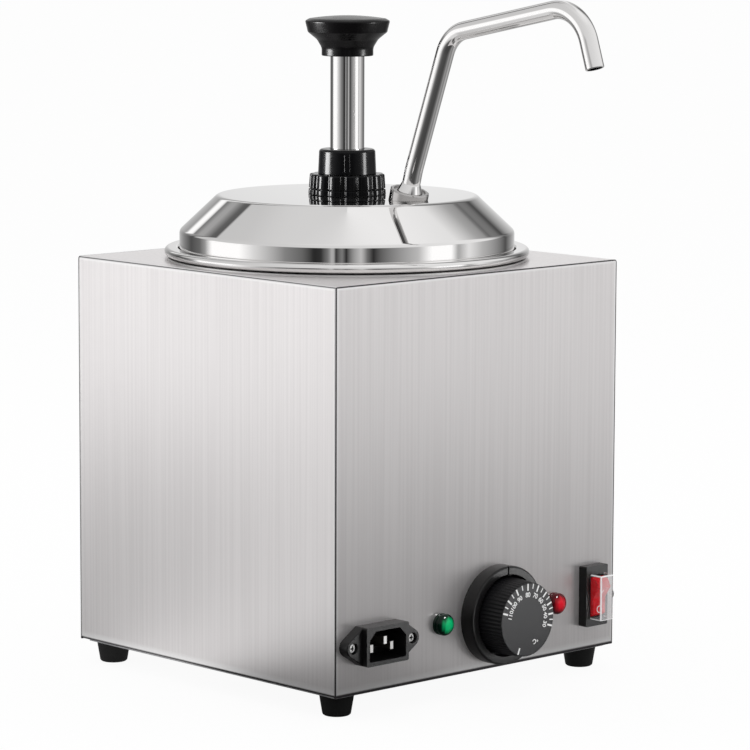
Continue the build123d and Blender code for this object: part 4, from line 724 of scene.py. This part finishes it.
looks = {
    "stainless_brushed": brushed_steel(),
    "stainless_polished": polished_steel("polished stainless", BRIGHT_STEEL, 0.012, 0.03, marks=0.03),
    "stainless_satin": clouded("satin stainless", (0.68, 0.67, 0.66), 1.0, 0.28, 400, 4, (0.18, 0.34),
                               ((0.55, 0.54, 0.53), (0.68, 0.67, 0.66))),
    "aluminised_steel": clouded("aluminised steel", (0.42, 0.42, 0.43), 1.0, 0.45, 160, 2, (0.38, 0.52),
                                ((0.34, 0.34, 0.35), (0.48, 0.48, 0.49))),
    "zinc_steel": clouded("zinc-plated steel", (0.68, 0.70, 0.73), 1.0, 0.30, 300, 3, (0.20, 0.36),
                          ((0.58, 0.60, 0.62), (0.76, 0.77, 0.80))),
    "black_gloss_plastic": gloss_plastic("black gloss plastic", (0.002, 0.002, 0.0025), 0.17),
    "black_satin_plastic": satin_plastic("black satin plastic", (0.003, 0.003, 0.0035), 0.40),
    "black_rubber": clouded("black rubber", (0.003, 0.003, 0.003), 0, 0.62, 1800, 4, (0.55, 0.7),
                            pits=(0.2, 0.00005), Specular_IOR_Level=0.3),
    "silicone": clouded("silicone", (0.70, 0.69, 0.65), 0, 0.45, 500, 2, None,
                        ((0.66, 0.65, 0.61), (0.74, 0.73, 0.69)), Subsurface_Weight=0.2),
    # each lens: the painted glow colour in its middle, then the painted shade colour at its rim
    "green_lens": lens_plastic("green lens", "power_lamp_lens", (0.002, 0.25, 0.085), (0.0, 0.006, 0.003)),
    "red_lens": lens_plastic("red lens", "heating_lamp_lens", (0.37, 0.004, 0.012), (0.04, 0.0, 0.002)),
    "red_plastic": clouded("red rocker plastic", (0.58, 0.004, 0.010), 0, 0.14, 260, 2, None,
                           ((0.50, 0.003, 0.008), (0.66, 0.006, 0.014)), Specular_IOR_Level=0.15),
    "clear_plastic": clear_plastic(),
    "brass": warm_metal("brass", (0.55, 0.38, 0.14), (0.72, 0.53, 0.23)),
    "copper_plated": warm_metal("copper", (0.50, 0.22, 0.12), (0.72, 0.40, 0.26)),
    "phenolic": plain_plastic("brown phenolic", (0.05, 0.028, 0.018), 0.45),
    "white_plastic": plain_plastic("white plastic", (0.72, 0.72, 0.70)),
    "pump_plastic": plain_plastic("pump plastic", (0.78, 0.78, 0.76), 0.3),
    "wire_brown": plain_plastic("brown wire", (0.14, 0.05, 0.02)),
    "wire_blue": plain_plastic("blue wire", (0.02, 0.07, 0.35)),
    "wire_green": plain_plastic("green wire", (0.07, 0.32, 0.05)),
    "drawn_tube": polished_steel("polished tube", BRIGHT_STEEL, 0.045, 0.06),
    "plain_steel": polished_steel("plain pan steel", (0.72, 0.715, 0.71), 0.32, 0.38),
    "spout_nut": polished_steel("union nut steel", (0.46, 0.45, 0.445), 0.10, 0.16),
    "pin_plating": plated_pins(),
    "blackened_steel": satin_plastic("blackened steel", (0.002, 0.002, 0.002), 0.6),
    "screw_plating": plain_plastic("bright screw plating", (0.95, 0.95, 0.94), 0.25, 0.25),
    "black_bezel": satin_plastic("black bezel plastic", (0.003, 0.0027, 0.003), 0.35),
    "dial": satin_plastic("black dial plastic", (0.005, 0.005, 0.006), 0.45),
    "press_knob": gloss_plastic("press knob plastic", (0.002, 0.0018, 0.002), 0.24),
    "moulded_housing": satin_plastic("black housing plastic", (0.003, 0.0028, 0.0032), 0.40),
    "white_print": clouded("white print", (0.86, 0.86, 0.86), 0, 0.5, 1500, 2, None,
                           ((0.80, 0.80, 0.80), (0.90, 0.90, 0.90))),
}
node_looks = {"inlet_housing": "moulded_housing", "switch_housing": "moulded_housing",
              "inlet_pins": "pin_plating", "earth_screw": "blackened_steel",
              "pump_cylinder": "drawn_tube", "riser_tube": "drawn_tube", "water_tank": "plain_steel"}

for part in frame["record"]["subparts"]:
    node = nodes[part["node"]]
    node.data.materials.clear()
    node.data.materials.append(looks[node_looks.get(part["node"], part["material_slot"])])


# ---- lid, pot and tank
def lid_shell():
    """Spun lid."""
    low, high = span("lid")
    half = LID_GAUGE / 2
    skirt = high.x - half
    top = high.z - half
    points = ((skirt, low.z), (skirt, LID_SHOULDER), (LID_TOP_RADIUS, top), (PUMP_HOLE_RADIUS, top))
    outline = sheet_outline(points, LID_BENDS, LID_GAUGE)
    finished("lid_shell", lathe_mesh(outline, 256), "lid_and_pump", "stainless_polished", replaces=["lid"])


def pot_shell():
    """Spun pot with its folded rim, polished outside and plain inside."""
    low, high = span("food_pot")
    half = POT_GAUGE / 2
    rim = high.x - half
    throat = POT_THROAT_RADIUS + half
    wall = POT_RADIUS + half
    top = high.z - half
    shoulder = span("lid")[0].z - POT_LEDGE_GAP - half
    floor = low.z + half
    curl = POT_RIM_BOTTOM + half
    points = ((rim - POT_RIM_CURL, curl), (rim, curl), (rim, top), (throat, top), (throat, shoulder),
              (wall, shoulder), (wall, floor), (0, floor))
    outline = sheet_outline(points, (*POT_RIM_BENDS, POT_CORNER), POT_GAUGE)
    pot = finished("pot_shell", lathe_mesh(outline, 256), "pot", "stainless_polished", replaces=["food_pot"])
    pot.data.materials.append(looks["plain_steel"])
    for face in pot.data.polygons:
        outward = Vector((face.center.x, face.center.y, 0))
        in_wall = face.normal.dot(outward) < 0 and face.center.z < shoulder * MM
        in_bottom = face.normal.z > 0.5 and face.center.z < (floor + POT_CORNER) * MM
        if in_wall or in_bottom:
            face.material_index = 1


# ---- pump above the lid
def pump_nut():
    """Fluted nut with a plain band round its foot."""
    low, high = span("pump_nut")
    foot = high.x
    bottom, top = low.z, high.z

    def radius_at(radius, height, angle):
        """Lobes with a slight crown, parted by narrow flutes, outside the nut's plain bore and groove."""
        if radius < foot - NUT_WALL:
            return radius
        pitch = 2 * pi / NUT_LOBES
        place = ((angle - radians(NUT_FLUTE_AZIMUTH)) / pitch + 0.5) % 1 - 0.5
        flute = max(0.0, 1 - (abs(place) / NUT_FLUTE_WIDTH) ** 2)
        crown = cos(2 * pi * (abs(place) - 0.5)) * NUT_CROWN
        return radius - NUT_FLUTE_DEPTH * flute ** 0.5 + crown - NUT_CROWN

    def outer(height):
        return foot - NUT_TAPER * (height - bottom) / (top - bottom)

    band = bottom + NUT_BAND_HEIGHT
    ridge = band + NUT_BAND_GAP
    groove = outer(band) - NUT_GROOVE
    corners = [(NUT_BORE, bottom), (outer(bottom), bottom), (outer(band), band),
               (groove, band + NUT_SLOPE), (groove, ridge - NUT_SLOPE), (outer(ridge), ridge),
               (outer(top), top), (NUT_BORE, top)]
    outline = rounded(corners, NUT_BENDS, closed=True)
    finished("pump_nut_fluted", lathe_mesh(outline, NUT_LOBES * 28, radius_at), "lid_and_pump",
             "black_gloss_plastic", replaces=["pump_nut"], sharp=60)


def pump_collar():
    """Guide collar with its raised key."""
    low, high = span("pump_collar")
    bottom = span("pump_nut")[1].z + SEAT_GAP
    foot = high.x
    corners = [(COLLAR_BORE, low.z), (COLLAR_SPIGOT, low.z), (COLLAR_SPIGOT, bottom), (foot, bottom),
               (COLLAR_TOP_RADIUS, high.z), (COLLAR_BORE, high.z)]
    outline = rounded(corners, (0, 0.3, 0, 0.3, COLLAR_EDGE, 0.5), closed=True)
    finished("pump_collar_turned", lathe_mesh(outline, 128), "lid_and_pump", "black_gloss_plastic",
             replaces=["pump_collar"])
    half = COLLAR_KEY_WIDTH / 2
    point, shoulder, height = COLLAR_KEY_LEVELS
    shape = [(-half, shoulder), (0, point), (half, shoulder), (half, height), (-half, height)]
    key = prism_mesh(shape, 0, COLLAR_KEY_DEPTH)
    lean = Matrix.Rotation(-atan2(foot - COLLAR_TOP_RADIUS, high.z - bottom), 4, "X")
    depth = foot - COLLAR_KEY_DEPTH + COLLAR_KEY_RISE
    place = (Matrix.Rotation(radians(COLLAR_KEY_AZIMUTH), 4, "Z") @ Matrix.Translation((0, -depth, bottom))
             @ lean @ Matrix.Rotation(pi / 2, 4, "X"))
    key = finished("pump_collar_key", key, "lid_and_pump", "black_gloss_plastic", place=place)
    eased(key, COLLAR_KEY_EDGE)


def plunger():
    """Polished plunger tube."""
    low, high = span("plunger_tube")
    radius = high.x
    inner = radius - PLUNGER_WALL
    corners = [(inner, low.z), (radius, low.z), (radius, high.z), (inner, high.z)]
    outline = rounded(corners, (0.2, 0.2, 0.2, 0.2), closed=True)
    finished("plunger_tube_polished", lathe_mesh(outline, 128), "plunger", "drawn_tube", "stainless_polished",
             ["plunger_tube"])


def return_spring():
    """Coil spring under the piston, with a mesh of its own; nothing here shortens it as the pump is pressed.
    """
    low, high = span("return_spring")
    wire = SPRING_WIRE / 2
    radius = (high.x - low.x) / 2 - wire
    rise = high.z - low.z - SPRING_WIRE
    steps = round(SPRING_TURNS * SPRING_STEPS)
    mesh = bmesh.new()
    rings = []
    for step in range(steps + 1):
        share = step / steps
        angle = 2 * pi * SPRING_TURNS * share
        outward = Vector((cos(angle), sin(angle), 0))
        centre = radius * outward + Vector((0, 0, low.z + wire + rise * share))
        section = circle(wire, SPRING_SIDES)
        rings.append([mesh.verts.new(centre + x * outward + Vector((0, 0, y))) for x, y in section])
    join_rings(mesh, rings, capped=True)
    coil = finished("return_spring_coil", mesh, "lid_and_pump", "stainless_satin", replaces=["return_spring"],
                    sharp=50)
    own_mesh(coil)


def press_knob():
    """Mushroom knob."""
    low, high = span("press_knob")
    bottom, top = low.z, high.z
    bore = span("plunger_tube")[1].x + SEAT_GAP
    edge = high.x
    lip_width, lip_height = KNOB_LIP
    corners = [(0, bottom + KNOB_SOCKET), (bore, bottom + KNOB_SOCKET), (bore, bottom),
               (KNOB_NECK_RADIUS, bottom), (KNOB_NECK_RADIUS, bottom + KNOB_NECK_HEIGHT),
               (KNOB_FLARE_RADIUS, bottom + KNOB_FLARE_RISE),
               (KNOB_WAIST_RADIUS, bottom + KNOB_WAIST_RISE), (edge, bottom + KNOB_EDGE_RISE),
               (edge - lip_width, bottom + KNOB_EDGE_RISE + lip_height)]
    outline = rounded(corners, KNOB_BENDS)
    rim = outline[-1]
    rise = top - rim.y
    sphere = (rim.x ** 2 + rise ** 2) / (2 * rise)
    for k in range(1, 12):
        radius = rim.x * (1 - k / 12)
        outline.append(Vector((radius, top - sphere + sqrt(sphere ** 2 - radius ** 2))))
    outline.append(Vector((0, top)))
    finished("press_knob_moulded", lathe_mesh(outline, 144), "plunger", "press_knob", "black_satin_plastic",
             ["press_knob"])


# ---- spout
def spout_place():
    """Tilted frame at the lid's spout hole."""
    top = span("lid")[1].z
    return Matrix.Translation((0, -SPOUT_SETBACK, top)) @ Matrix.Rotation(radians(SPOUT_TILT), 4, "X")


def spout_tube():
    """Bent spout with its flared foot."""
    place = spout_place()
    start = place @ Vector((0, 0, FLARE_LEVELS[0][0]))
    foot = place @ Vector((0, 0, SPOUT_FOOT))
    corners = [start, foot, *[Vector((0, y, z)) for y, z in SPOUT_CORNERS], Vector((0, *SPOUT_TIP))]
    route = rounded(corners, (0, *SPOUT_BENDS, 0))
    finished("spout_tube_bent", pipe_mesh(route, SPOUT_RADIUS, SPOUT_BORE), "lid_and_pump", "drawn_tube",
             "stainless_polished", ["spout_tube"])
    outline = [(radius, level) for level, radius in FLARE_LEVELS]
    outline = [(SPOUT_BORE, FLARE_LEVELS[0][0]), *outline, (SPOUT_BORE, FLARE_LEVELS[-1][0])]
    outline = rounded(outline, FLARE_BENDS, closed=True)
    finished("spout_flare", lathe_mesh(outline, 96), "lid_and_pump", "drawn_tube", "stainless_polished",
             place=place)


def spout_nut():
    """Twelve-sided union nut with a bevelled rim round a shallow recess, cut off at the lid's top."""
    place = spout_place()
    inner_flat = UNION_RADIUS * cos(pi / UNION_SIDES)
    mesh = bmesh.new()
    levels = [(UNION_RADIUS, UNION_BOTTOM), (UNION_RADIUS, UNION_TOP - UNION_CHAMFER),
              (UNION_RADIUS - UNION_CHAMFER, UNION_TOP)]
    rings = []
    for radius, level in levels:
        rings.append([mesh.verts.new((x, y, level)) for x, y in circle(radius, UNION_SIDES)])
    join_rings(mesh, rings, capped=True)
    nut = finished("spout_nut_faceted", mesh, "lid_and_pump", "spout_nut", "stainless_polished",
                   ["spout_nut"], place)
    above = UNION_TOP + 1
    cut(nut, prism_mesh(circle(inner_flat - UNION_RIM), UNION_TOP - UNION_RECESS, above), place)
    cut(nut, prism_mesh(circle(UNION_MOUTH), 0, above), place)
    lid_top = span("lid")[1].z
    cut(nut, prism_mesh(rectangle(40, 40, 0, -SPOUT_SETBACK), lid_top - 20, lid_top + 0.02))
    eased(nut, UNION_EDGE)


# ---- temperature control
def bezel():
    """Raised ring round the knob with its index notch."""
    radius, depth, place = on_panel("thermostat_bezel")
    corners = [(BEZEL_HOLE, 0), (radius, 0), (radius, depth), (BEZEL_RECESS, depth),
               (BEZEL_RECESS, BEZEL_FLOOR), (BEZEL_HOLE, BEZEL_FLOOR)]
    outline = rounded(corners, (0, 0, BEZEL_EDGE, 0.5, 0.3, 0), closed=True)
    ring = finished("thermostat_bezel_moulded", lathe_mesh(outline, 192), "casing", "black_bezel",
                    "black_gloss_plastic", ["thermostat_bezel"], place)
    width, notch = BEZEL_NOTCH
    cut(ring, prism_mesh(rectangle(width / 2, 4, 0, radius - 2), depth - notch, depth + 1), place)


def knob():
    """Ribbed temperature knob with a flat face, a hollow back and a socket for the shaft."""
    base, length, place = on_panel("temperature_knob")

    def radius_at(radius, height, angle):
        """Fine ribs on the side only."""
        if radius < DIAL_FACE_RADIUS - DIAL_EDGE - 0.4 or height > length - DIAL_EDGE * 0.4:
            return radius
        wave = cos(DIAL_RIBS * angle) * 0.5 + 0.5
        return radius - DIAL_RIB_DEPTH * (1 - wave ** 2)

    inner, outer, hollow = DIAL_HOLLOW
    bore, socket = DIAL_SOCKET
    corners = [(inner, 0), (inner, hollow), (outer, hollow), (outer, 0), (base, 0),
               (DIAL_FACE_RADIUS, length), (0, length), (0, socket), (bore, socket), (bore, 0)]
    outline = rounded(corners, (0, 0, 0, 0, 0.4, DIAL_EDGE, 0, 0, 0, 0), closed=True)
    finished("temperature_knob_ribbed", lathe_mesh(outline, DIAL_RIBS * 8, radius_at), "knob", "dial",
             "black_satin_plastic", ["temperature_knob"], place, sharp=50)


def on_dial(angle, radius):
    """Place on the knob's face, at an angle clockwise from the top as seen from in front."""
    centre = middle("temperature_knob")
    turn = Matrix.Rotation(-radians(angle), 4, "Z") @ Matrix.Translation((0, radius, 0))
    return facing_front(centre.x, centre.z, span("temperature_knob")[0].y) @ turn


def tick(name, angle, length, width):
    """Printed line on the dial."""
    mesh = prism_mesh(rectangle(width / 2, length / 2, 0, -length / 2), -INK, INK)
    place = on_dial(angle, DIAL_TICK_OUTER)
    finished(name, mesh, "knob", "white_print", "black_satin_plastic", place=place)


def word(name, text, angle):
    """Printed characters on the dial, centred on their place."""
    curve = bpy.data.curves.new(name, "FONT")
    curve.body = text
    curve.size = DIAL_NUMBER_SIZE
    curve.align_x = "CENTER"
    curve.align_y = "CENTER"
    curve.extrude = INK
    curve.offset = DIAL_NUMBER_SIZE * DIAL_NUMBER_WEIGHT
    holder = linked(name, curve)
    data = worked_out(holder)
    bpy.data.objects.remove(holder)
    data.transform(Matrix.Scale(MM, 4) @ on_dial(angle, DIAL_NUMBER_RADIUS))
    dressed(linked(name, data), "knob", "white_print", "black_satin_plastic")


def dial_print():
    """Ticks, numbers, off mark and degree sign of the dial."""
    angles = [angle for _, angle in DIAL_STEPS]
    for number, angle in DIAL_STEPS:
        tick(f"dial_tick_{number}", angle, *DIAL_TICK)
        word(f"dial_number_{number}", str(number), angle)
    for i, (before, after) in enumerate(zip(angles, angles[1:])):
        tick(f"dial_half_tick_{i}", (before + after) / 2, *DIAL_HALF_TICK)
    tick("dial_off_mark", DIAL_OFF_ANGLE, *DIAL_TICK)
    word("dial_degree_sign", "°C", DIAL_SIGN_ANGLE)


# ---- lamps
def lamp(node, look):
    """Domed lens with a collar and a groove round it."""
    radius, depth, place = on_panel(node)
    corners = [(0, 0), *[(radius - inset, level) for inset, level in LENS_SIDE]]
    outline = rounded(corners, LENS_BENDS)
    for k in range(12):
        angle = radians(90 * k / 12)
        rise = (depth - LENS_DOME_START) * sin(angle)
        outline.append(Vector((radius * cos(angle), LENS_DOME_START + rise)))
    outline.append(Vector((0, depth)))
    finished(f"{node}_domed", lathe_mesh(outline, 96), "casing", look, replaces=[node], place=place)


# ---- power switch and inlet
def rocker_place():
    """Rocker's frame at rest: local +Z points out of the panel before the tilt, local +Y points up."""
    centre = middle("switch_cover")
    frame_face = span("switch_housing")[0].y
    pivot = Matrix.Translation((centre.x, frame_face + ROCKER_PIVOT_DEPTH, centre.z))
    return pivot @ Matrix.Rotation(radians(ROCKER_TILT), 4, "X") @ Matrix.Rotation(pi / 2, 4, "X")


def rocker():
    """Rocker with two pressing faces, an O ring and an I bar."""
    mesh = bmesh.new()
    sides = []
    for side in (-ROCKER_WIDTH / 2, ROCKER_WIDTH / 2):
        sides.append([mesh.verts.new((side, height, reach)) for reach, height in ROCKER_OUTLINE])
    join_rings(mesh, sides, capped=True)
    eased(finished("switch_rocker_moulded", mesh, "rocker", "red_plastic", replaces=["switch_rocker"],
                   place=rocker_place()), ROCKER_EDGE)
    valley, upper, lower = (Vector(ROCKER_OUTLINE[i]) for i in (0, 1, -1))
    inner, outer = ROCKER_RING
    hoop = [(inner, -INK), (outer, -INK), (outer, INK), (inner, INK)]
    finished("switch_off_ring", lathe_mesh(hoop, 48), "rocker", "white_print", "red_plastic",
             place=on_rocker(valley, lower, ROCKER_RING_PLACE))
    width, length = ROCKER_BAR
    bar = prism_mesh(rectangle(width / 2, length / 2), -INK, INK)
    finished("switch_on_bar", bar, "rocker", "white_print", "red_plastic",
             place=on_rocker(valley, upper, ROCKER_BAR_PLACE))


def on_rocker(start, end, share):
    """Place on one of the rocker's pressing faces, with local +Z out of the face."""
    reach, height = start.lerp(end, share)
    lean = atan2(end.x - start.x, end.y - start.y)
    if end.y < start.y:
        lean = -atan2(end.x - start.x, start.y - end.y)
    return rocker_place() @ Matrix.Translation((0, height, reach)) @ Matrix.Rotation(lean, 4, "X")


def tapered(mesh):
    """Draws in the front corners of the cover on its right side."""
    front = max(corner.co.z for corner in mesh.verts)
    for corner in mesh.verts:
        if corner.co.x > 0 and corner.co.z == front:
            corner.co.x -= COVER_TAPER
    return mesh


def cover():
    """Clear boot over the rocker."""
    low, high = span("switch_cover")
    wide, depth, place = on_panel("switch_cover")
    tall = (high.z - low.z) / 2
    mesh = tapered(prism_mesh(rectangle(wide, tall), 0, depth))
    piece = finished("switch_cover_moulded", mesh, "casing", "clear_plastic", replaces=["switch_cover"],
                     place=place)
    eased(piece, COVER_EDGE)
    inside = prism_mesh(rectangle(wide - COVER_WALL, tall - COVER_WALL), -1, depth - COVER_WALL)
    cut(piece, tapered(inside), place)


def inlet_screws():
    """Two pan-head screws with a cross recess, painted shade in black inside the recess."""
    low, high = span("inlet_screws")
    centre = middle("inlet_screws")
    head = (high.z - low.z) / 2
    length = high.y - low.y
    rise = length - SCREW_HEAD_RISE
    drop, flat_share = SCREW_CROWN
    cross_half, cross_reach = SCREW_CROSS
    for name, x in (("left", low.x + head), ("right", high.x - head)):
        corners = [(0, 0), (SCREW_SHANK_RADIUS, 0), (SCREW_SHANK_RADIUS, rise), (head, rise),
                   (head, length - drop), (head * flat_share, length), (0, length)]
        outline = rounded(corners, SCREW_BENDS)
        place = facing_front(x, centre.z, high.y)
        replaced = ["inlet_screws"] if name == "left" else []
        screw = finished(f"inlet_screw_{name}", lathe_mesh(outline, 64), "casing", "screw_plating",
                         "zinc_steel", replaced, place)
        for half_x, half_y in ((cross_half, cross_reach), (cross_reach, cross_half)):
            cut(screw, prism_mesh(rectangle(half_x, half_y), length - SCREW_CROSS_DEPTH, length + 1), place)
        # faces deep in each cross recess take the black rubber look: painted shade
        screw.data.materials.append(looks["black_rubber"])
        tip = Vector((x, low.y, centre.z))
        for face in screw.data.polygons:
            away = face.center / MM - tip
            if away.y > SCREW_SHADE_DEPTH and Vector((away.x, away.z)).length < cross_reach:
                face.material_index = 1


# ---- floor, light and camera
def layered(made, share, first, second):
    """Node that mixes the shaders of two others."""
    return add(made, "ShaderNodeMixShader", share, first.outputs[0], second.outputs[0])


def studio_floor():
    """Large pale floor that keeps a soft shadow and lies dim in the steel near the object."""
    floor = placed("floor", prism_mesh(rectangle(*FLOOR_REACH), -20, 0), Matrix())
    made = bpy.data.materials.new("pale floor")
    made.use_nodes = True
    made.node_tree.nodes.clear()
    path = add(made, "ShaderNodeLightPath")
    paint = add(made, "ShaderNodeBsdfDiffuse", Color=FLOOR_PAINT)
    white = add(made, "ShaderNodeEmission", Color=WHITE)
    share = compute(made, "MULTIPLY", path.outputs["Is Camera Ray"], FLOOR_WHITE_SHARE)
    seen = layered(made, share, paint, white)

    place = add(made, "ShaderNodeTexCoord").outputs["Object"]
    fade = spread(made, measure(made, "LENGTH", place), 0, 1, FLOOR_FADE, soft=True)
    dim = add(made, "ShaderNodeEmission", Color=ring(made, bearing(made, place), FLOOR_IN_STEEL))
    mirrored = layered(made, fade, dim, add(made, "ShaderNodeBsdfTransparent"))
    whole = layered(made, path.outputs["Is Glossy Ray"], seen, mirrored)
    add(made, "ShaderNodeOutputMaterial", Surface=whole.outputs[0])
    floor.data.materials.append(made)


def bearing(made, vector):
    """Angle round the object from the studio's front, from 0 to 1 over a whole turn."""
    turn = radians(STUDIO_FRONT)
    right = measure(made, "DOT_PRODUCT", vector, (cos(turn), sin(turn), 0))
    toward = measure(made, "DOT_PRODUCT", vector, (sin(turn), -cos(turn), 0))
    return spread(made, compute(made, "ARCTAN2", right, toward), 0, 1, (-pi, pi))


def ring(made, angle, stops):
    """Brightness around the object by bearing from the studio's front, positive towards the right."""
    ramp = add(made, "ShaderNodeValToRGB", Fac=angle)
    elements = ramp.color_ramp.elements
    for i, (degrees, level) in enumerate(stops):
        place = (degrees + 180) / 360
        element = elements[i] if i < 2 else elements.new(place)
        element.position = place
        element.color = (level, level, level, 1)
    return ramp.outputs["Color"]


def studio_world():
    """White surroundings for the camera, bright and dark panels for the steel, and a grey fill."""
    world = bpy.data.worlds.new("studio")
    bpy.context.scene.world = world
    world.use_nodes = True
    world.node_tree.nodes.clear()
    direction = add(world, "ShaderNodeTexCoord").outputs["Generated"]
    height = measure(world, "DOT_PRODUCT", direction, (0, 0, 1))
    angle = bearing(world, direction)
    studio, *higher = [ring(world, angle, stops) for stops in STUDIO_RINGS]
    for edges, level in zip(STUDIO_BLENDS, higher):
        studio = mixed(world, spread(world, height, 0, 1, edges, soft=True), studio, level)
    glossy = add(world, "ShaderNodeBackground", Color=studio, Strength=STUDIO_STRENGTH)
    fill = add(world, "ShaderNodeBackground", Color=FILL)
    white = add(world, "ShaderNodeBackground", Color=WHITE)
    path = add(world, "ShaderNodeLightPath").outputs
    unseen = layered(world, path["Is Glossy Ray"], fill, glossy)
    seen = compute(world, "MAXIMUM", path["Is Camera Ray"], path["Is Transmission Ray"])
    add(world, "ShaderNodeOutputWorld", Surface=layered(world, seen, unseen, white).outputs[0])


def softbox(name, azimuth, elevation, distance, width, height, level, mirrored=False):
    """Soft rectangular lamp aimed at the object. Azimuth 0 is in front and grows towards the right."""
    data = bpy.data.lights.new(name, "AREA")
    data.shape = "RECTANGLE"
    data.size = width
    data.size_y = height
    data.energy = level * pi * width * height
    box = linked(name, data)
    side, up = radians(azimuth), radians(elevation)
    direction = Vector((sin(side) * cos(up), -cos(side) * cos(up), sin(up)))
    box.location = Vector(LIGHT_TARGET) + direction * distance
    box.rotation_euler = direction.to_track_quat("Z", "Y").to_euler()
    box.visible_glossy = mirrored
    return box


def lit_only(box, names):
    """Keeps a lamp's light for the pieces that have certain looks."""
    group = bpy.data.collections.new(f"{box.name}_pieces")
    chosen = [looks[name] for name in names]
    for piece in bpy.data.objects:
        if piece.type == "MESH" and piece.data.materials and piece.data.materials[0] in chosen:
            group.objects.link(piece)
    box.light_linking.receiver_collection = group


def highlights():
    """Lamps that give the plastics their highlights and leave the steel alone."""
    for strip in STRIPS:
        lit_only(softbox(*strip, mirrored=True), STRIP_LOOKS)
    glow = softbox("front_glow", 0, 0, 1, *GLOW_SIZE, GLOW_LEVEL, mirrored=True)
    glow.location = GLOW_PLACE
    glow.visible_camera = False
    lit_only(glow, GLOW_LOOKS)
    lit_only(softbox("lens_sparkle", *SPARKLE, mirrored=True), SPARKLE_LOOKS)


def studio_camera():
    """Camera at the photograph's viewpoint."""
    data = bpy.data.cameras.new("camera")
    data.lens = CAMERA_LENS
    data.clip_end = 100
    camera = linked("camera", data)
    turn = Matrix.Rotation(radians(CAMERA_AZIMUTH), 4, "Z")
    turn @= Matrix.Rotation(radians(90 - CAMERA_PITCH), 4, "X")
    turn @= Matrix.Rotation(radians(CAMERA_ROLL), 4, "Z")
    camera.matrix_world = Matrix.Translation(Vector(CAMERA_PLACE) * MM) @ turn
    bpy.context.scene.camera = camera


lid_shell()
pot_shell()
pump_nut()
pump_collar()
plunger()
return_spring()
press_knob()
spout_tube()
spout_nut()
bezel()
knob()
dial_print()
lamp("power_lamp_lens", "green_lens")
lamp("heating_lamp_lens", "red_lens")
rocker()
cover()
inlet_screws()

studio_floor()
studio_world()
for box in SOFTBOXES:
    softbox(*box)
highlights()
studio_camera()
bpy.context.scene.view_settings.view_transform = "Standard"
